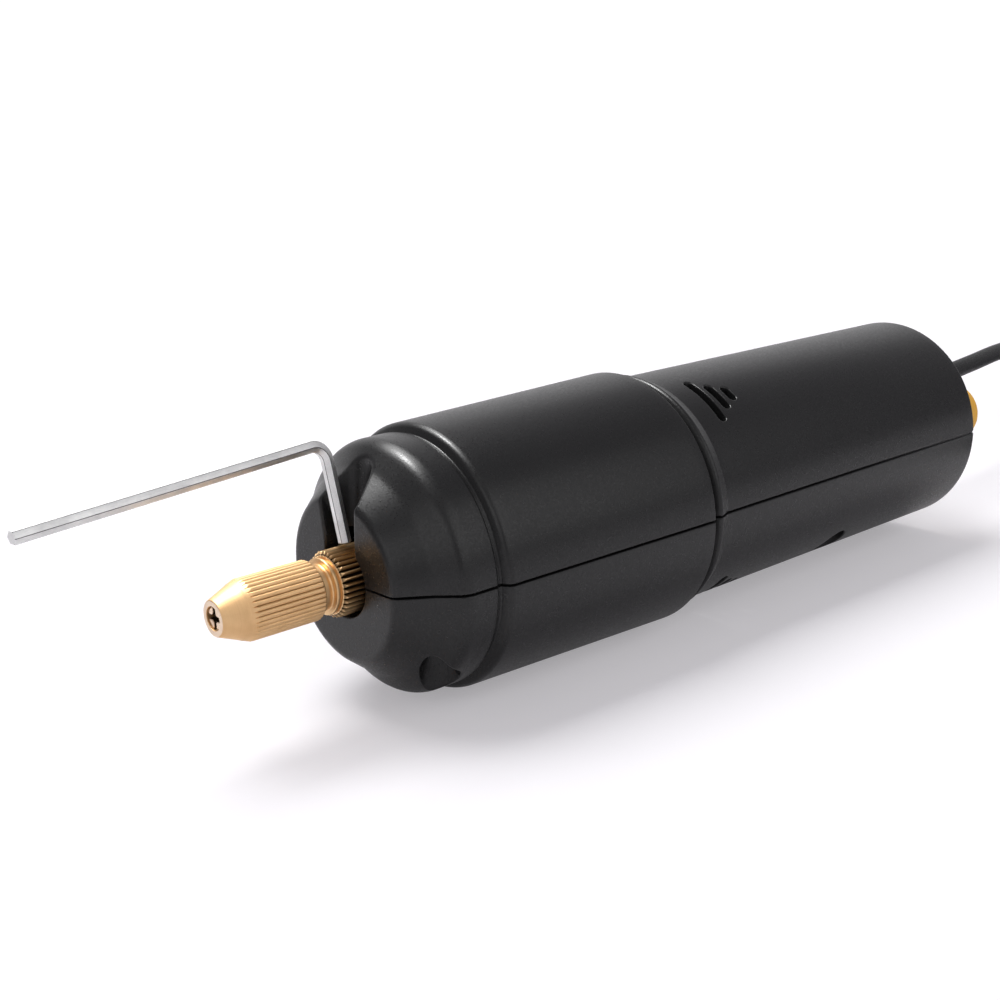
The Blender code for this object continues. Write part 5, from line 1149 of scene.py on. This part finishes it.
def plug_sections(front, back):
    """(x, width, height, round) of the overmould: rounded ends and a shallow grip between."""
    sections = []
    ends = [(front, 1, a) for a in np.linspace(0, QUARTER, 7)]
    ends += [(back, -1, a) for a in np.linspace(QUARTER, 0, 7)]
    for end, inward, a in ends:
        off = 1.6 * (1 - math.sin(a))
        x = end + inward * 1.6 * (1 - math.cos(a))
        sections.append((x, PLUG_WIDTH - 2 * off, PLUG_HEIGHT - 2 * off, 1.7 - 0.6 * off))
    grip = [
        (front + x, PLUG_WIDTH - 2 * dent, PLUG_HEIGHT - dent, 1.7)
        for x, dent in ((6, 0), (7, 0), (7.4, 0.35), (13.2, 0.35), (13.6, 0))
    ]
    return sections[:7] + grip + sections[7:]


def make_plug(end):
    """The plug: rounded boxes joined along X, a ribbed neck behind and a flat tube in front."""

    def loft(build, sections):
        layers = []
        for x, width, height, round_by in sections:
            y, z = box_loop(width, height, round_by).T
            layers.append(places(x, end[1] + y, PLUG_MIDDLE + z))
        build.bar(layers)

    back = end[0] - GAP - PLUG_NECK
    front = back - PLUG_LENGTH
    build = Build()
    loft(build, plug_sections(front, back))
    neck = []
    for x in np.linspace(-1.0, PLUG_NECK, 37):
        share = max(0.0, x / PLUG_NECK)
        wave = 0.3 * smoothstep((math.sin(x * math.tau / 2.0) - 0.1) / 0.5) * (1 < x < 7.4)
        neck.append((back + x, 2.9 + (SLEEVE_TIP_RADIUS - 2.9) * share - wave))
    neck = np.array([(neck[0][0], 0.0), *neck, (neck[-1][0], 0.0)])
    angles = even_angles(32)
    across, up = neck[:, 1:] * np.sin(angles), neck[:, 1:] * np.cos(angles)
    build.grid(places(neck[:, :1], end[1] + across, PLUG_MIDDLE + up), wrap=True)
    nodes = ("plug_overmould",)
    moulding = build.finish("plug_body", "black_rubber", "drill", "black_rubber", nodes)
    mouth, bevel = front - TUBE_LENGTH, 0.1
    inside = (TUBE_WIDTH - 2 * TUBE_WALL, TUBE_HEIGHT - 2 * TUBE_WALL, 0.3)
    build = Build()
    loft(
        build,
        [
            (front + 2.9, TUBE_WIDTH, TUBE_HEIGHT, 0.6),
            (mouth + bevel, TUBE_WIDTH, TUBE_HEIGHT, 0.6),
            (mouth, TUBE_WIDTH - 2 * bevel, TUBE_HEIGHT - 2 * bevel, 0.5),
            (mouth, *inside),
            (front + 2.0, *inside),
        ],
    )
    shell = build.finish("plug_tube", "bright_steel", "drill", "bright_steel", ("plug_shell",))
    return [moulding, shell, NODES["plug_tongue"]]


def make_lead(sleeve):
    """The free stretch, the coil and the tail as one tube; the coil takes up what is left."""
    coarse = through_route(lead_route(), 8.0)
    run = float(np.linalg.norm(np.diff(coarse, axis=0), axis=1).sum())
    coil, centre, outer = coil_route(CORD_LENGTH - run - TAIL_LENGTH - 2 * CORD_DIAMETER)
    tail = tail_route(coil[-1])
    path = np.concatenate([through_route(lead_route(), 2.0), coil[1:], tail])
    nodes = ("cord_lead", "cord_coil", "cord_tail")
    build = tube(path, CORD_DIAMETER / 2, 24)
    piece = build.finish("lead", "cable_jacket", "drill", "cable_jacket", nodes)
    strap = make_tie(centre, outer)
    plug = make_plug(tail[-1])


# Solids that keep their own shape, by finish

KEPT = {
    "zinc_screw": ("front_near_screw", "front_far_screw", "rear_near_screw", "rear_far_screw"),
    "dark_steel": ("set_screw", "armature_core"),
    "bright_steel": ("motor_can", "motor_shaft"),
    "dark_nylon": ("motor_end_cap", "switch_body", "switch_plunger", "plug_tongue"),
    "sintered_bronze": ("front_bush", "rear_bush"),
    "ferrite": ("magnet_near", "magnet_far"),
    "copper": ("winding_1", "winding_2", "winding_3", "commutator"),
    "carbon": ("brush_near", "brush_far"),
    "turned_brass": ("terminal_near", "terminal_far"),
    "black_wire": ("return_wire",),
    "red_wire": ("supply_wire", "switched_wire"),
}


def finish_solids():
    for name, nodes in KEPT.items():
        for node in nodes:
            mesh = NODES[node].data
            mesh.materials.clear()
            mesh.materials.append(MATERIALS[name])


# Stage, lights and camera, in metres

FLOOR_HALF = 4.0
# Lamps: name, place, height of the aim, size, the setting of its power, seen in gloss only
LAMPS = (
    ("overhead", (-0.02, 0.25, 0.6), 0.02, (0.5, 0.4), "key_power", False),
    ("small", (-0.1, 0.2, 0.62), 0.02, (0.13, 0.13), "small_power", True),
    ("above_camera", (0.2, -0.85, 0.52), 0.02, (1.2, 0.8), "wide_power", False),
    ("behind", (0.93, 1.1, 0.5), 0.3, (4.0, 1.0), "back_power", False),
    ("front", (-0.6, -0.3, 0.3), 0.02, (0.5, 0.4), "fill_power", False),
)
WORLD_WHITE = 1.1


def placed_in_scene(name, data):
    made = bpy.data.objects.new(name, data)
    bpy.context.scene.collection.objects.link(made)
    return made


def make_floor():
    """White paper: a flat square; away from the drill it glows to full white for the camera."""
    share = np.linspace(-1, 1, 9) * FLOOR_HALF
    build = Build()
    build.grid(places(*np.meshgrid(share, share), 0.0))
    mesh = bpy.data.meshes.new("floor")
    mesh.from_pydata(np.concatenate(build.points).tolist(), [], build.faces)
    if mesh.polygons[0].normal.z < 0:
        mesh.flip_normals()
    floor = placed_in_scene("floor", mesh)
    paper = bpy.data.materials.new("studio_paper")
    paper.use_nodes = True
    graph = Graph(paper.node_tree)
    away = graph.node("ShaderNodeVectorMath", {0: graph.place()}, operation="LENGTH")
    glow = graph.span(away.outputs["Value"], 0.25, 0.7, 0.32, 1.1)
    ray = graph.node("ShaderNodeLightPath", {}).outputs
    mirrored_ray = graph.math("MULTIPLY", ray["Is Glossy Ray"], 0.3)
    seen = graph.math("ADD", ray["Is Camera Ray"], mirrored_ray)
    shader = paper.node_tree.nodes["Principled BSDF"].inputs
    for label, value in {
        "Base Color": (0.7, 0.69, 0.71, 1), "Roughness": 0.9, "Specular IOR Level": 0.1,
        "Emission Color": (0.99, 0.965, 1.0, 1),
        "Emission Strength": graph.math("MULTIPLY", seen, glow),
    }.items():
        graph.set(shader[label], value)
    mesh.materials.append(paper)


def make_lights(stage):
    """A wide and a small soft lamp overhead, one over the camera, a wall of light, a front lamp."""
    for name, place, height, size, power, gloss_only in LAMPS:
        data = bpy.data.lights.new(name, "AREA")
        data.shape = "RECTANGLE"
        data.size, data.size_y = size
        data.energy = getattr(stage, power)
        lamp = placed_in_scene(name, data)
        lamp.location = place
        aim = Vector((0, 0, height)) - Vector(place)
        lamp.rotation_euler = aim.to_track_quat("-Z", "Y").to_euler()
        lamp.visible_camera = False
        lamp.visible_diffuse = not gloss_only
    world = bpy.context.scene.world = bpy.data.worlds.new("studio")
    world.use_nodes = True
    graph = Graph(world.node_tree)
    ray = graph.node("ShaderNodeLightPath", {}).outputs["Is Camera Ray"]
    seen = graph.math("MULTIPLY", ray, WORLD_WHITE - stage.room_light)
    background = world.node_tree.nodes["Background"].inputs
    graph.set(background["Color"], (0.96, 0.93, 1.0, 1))
    graph.set(background["Strength"], graph.math("ADD", stage.room_light, seen))


def make_camera():
    """The photograph's view: place, turn and lens from the fit of the housing's rings."""
    data = bpy.data.cameras.new("camera")
    data.sensor_width, data.lens = 36.0, 53.332
    data.clip_start, data.clip_end = 0.01, 20.0
    camera = placed_in_scene("camera", data)
    right = Vector((0.7557, -0.6532, -0.0476)).normalized()
    up = Vector((0.2105, 0.1734, 0.9621))
    up = (up - right * up.dot(right)).normalized()
    turn = Matrix((right, up, right.cross(up))).transposed().to_4x4()
    place = (Vector(AXIS) + Vector((-81.405, -151.427, 59.970))) * MM
    camera.matrix_world = Matrix.Translation(place) @ turn
    bpy.context.scene.camera = camera
    bpy.context.scene.view_settings.view_transform = "Standard"


# Add-on


def length(name, description, default):
    return FloatProperty(
        name=name, description=description, default=default * MM, precision=5,
        subtype="DISTANCE", unit="LENGTH",
    )


def colour(name, description, default):
    return FloatVectorProperty(
        name=name, description=description, default=default, subtype="COLOR", min=0, max=1
    )


def power(name, description, default):
    return FloatProperty(name=name, description=description, default=default, unit="POWER")


class DrillSizes(bpy.types.PropertyGroup):
    nut_ridges: IntProperty(name="Nut ridges", description="Ridges round the nut", default=36)
    nut_ridge_depth: length("Nut ridge depth", "Depth of the grooves between the ridges", 0.26)
    collar_teeth: IntProperty(name="Collar teeth", description="Teeth round the collar", default=34)
    collar_tooth_depth: length("Collar tooth depth", "Depth of the V between the teeth", 0.62)
    key_across_flats: length("Key across flats", "Width of the hexagon bar", 1.5)
    key_roll: FloatProperty(
        name="Key roll", description="Turn of the hexagon about the bar, in degrees", default=20.0
    )


class DrillColours(bpy.types.PropertyGroup):
    housing: colour("Housing", "Colour of the moulded halves", (0.0068, 0.0068, 0.0071))
    brass: colour("Brass", "Colour of the chuck and its nut", (0.85, 0.57, 0.3))
    steel: colour("Steel", "Colour of the plug and the motor", (0.5, 0.495, 0.49))
    button: colour("Button", "Colour of the push button", (0.95, 0.5, 0.06))


class DrillStage(bpy.types.PropertyGroup):
    key_power: power("Overhead power", "Power of the wide lamp above", 3.7)
    small_power: power("Small lamp power", "Power of the small lamp above", 3.2)
    back_power: power("Back power", "Power of the wall of light behind", 7.5)
    fill_power: power("Front power", "Power of the soft lamp in front", 0.6)
    wide_power: power("Wide power", "Power of the wide lamp above the camera", 3.0)
    room_light: FloatProperty(
        name="Room light", description="Strength of the even light from all round", default=0.24
    )


class StageOperator(bpy.types.Operator):
    """Makes the camera, the paper floor and the soft lamps"""

    bl_idname = "drill.stage"
    bl_label = "Stage"

    def execute(self, context):
        make_camera()
        make_floor()
        make_lights(context.scene.drill_stage)
        return {"FINISHED"}


class MaterialsOperator(bpy.types.Operator):
    """Makes the shared node groups and every finish"""

    bl_idname = "drill.finishes"
    bl_label = "Finishes"

    def execute(self, context):
        make_materials(context.scene.drill_colours)
        return {"FINISHED"}


class LeadOperator(bpy.types.Operator):
    """Makes the lead with its sleeve, coil, tie and plug"""

    bl_idname = "drill.lead"
    bl_label = "Lead"

    def execute(self, context):
        make_lead(make_strain_relief())
        return {"FINISHED"}


class HousingOperator(bpy.types.Operator):
    """Makes the two half shells, the screw wells and the seam's tongue"""

    bl_idname = "drill.housing"
    bl_label = "Housing"

    def execute(self, context):
        make_housing()
        return {"FINISHED"}


class ChuckOperator(bpy.types.Operator):
    """Makes the nut, the four jaws and the toothed chuck body"""

    bl_idname = "drill.chuck"
    bl_label = "Chuck"

    def execute(self, context):
        make_nut(context.scene.drill_sizes)
        make_jaws()
        make_chuck(context.scene.drill_sizes)
        return {"FINISHED"}


class KeyOperator(bpy.types.Operator):
    """Makes the bent hexagon key"""

    bl_idname = "drill.key"
    bl_label = "Key"

    def execute(self, context):
        make_key(context.scene.drill_sizes)
        return {"FINISHED"}


class ButtonOperator(bpy.types.Operator):
    """Makes the push button"""

    bl_idname = "drill.button"
    bl_label = "Button"

    def execute(self, context):
        make_button()
        return {"FINISHED"}


class SolidsOperator(bpy.types.Operator):
    """Gives the motor, switch, wires and screws their finishes"""

    bl_idname = "drill.inside"
    bl_label = "Inside"

    def execute(self, context):
        finish_solids()
        return {"FINISHED"}


STEPS = (
    StageOperator, MaterialsOperator, LeadOperator, HousingOperator, ChuckOperator, KeyOperator,
    ButtonOperator, SolidsOperator,
)
SETTINGS = {"drill_sizes": DrillSizes, "drill_colours": DrillColours, "drill_stage": DrillStage}


class DrillPanel(bpy.types.Panel):
    bl_label = "Mini electric drill"
    bl_idname = "VIEW3D_PT_mini_drill"
    bl_space_type = "VIEW_3D"
    bl_region_type = "UI"
    bl_category = "Drill"

    def draw(self, context):
        for settings in SETTINGS:
            group, box = getattr(context.scene, settings), self.layout.box()
            for name in group.__annotations__:
                box.prop(group, name)
        for step in STEPS:
            self.layout.operator(step.bl_idname)


def register():
    for kind in (*SETTINGS.values(), *STEPS, DrillPanel):
        bpy.utils.register_class(kind)
    for name, kind in SETTINGS.items():
        setattr(bpy.types.Scene, name, PointerProperty(type=kind))


def unregister():
    for name in SETTINGS:
        delattr(bpy.types.Scene, name)
    for kind in (DrillPanel, *STEPS[::-1], *SETTINGS.values()):
        bpy.utils.unregister_class(kind)


def main():
    register()
    for step in STEPS:
        family, name = step.bl_idname.split(".")
        if getattr(getattr(bpy.ops, family), name)() != {"FINISHED"}:
            raise RuntimeError(f"{step.bl_label} didn't finish")
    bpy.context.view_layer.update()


if __name__ == "__main__":
    main()
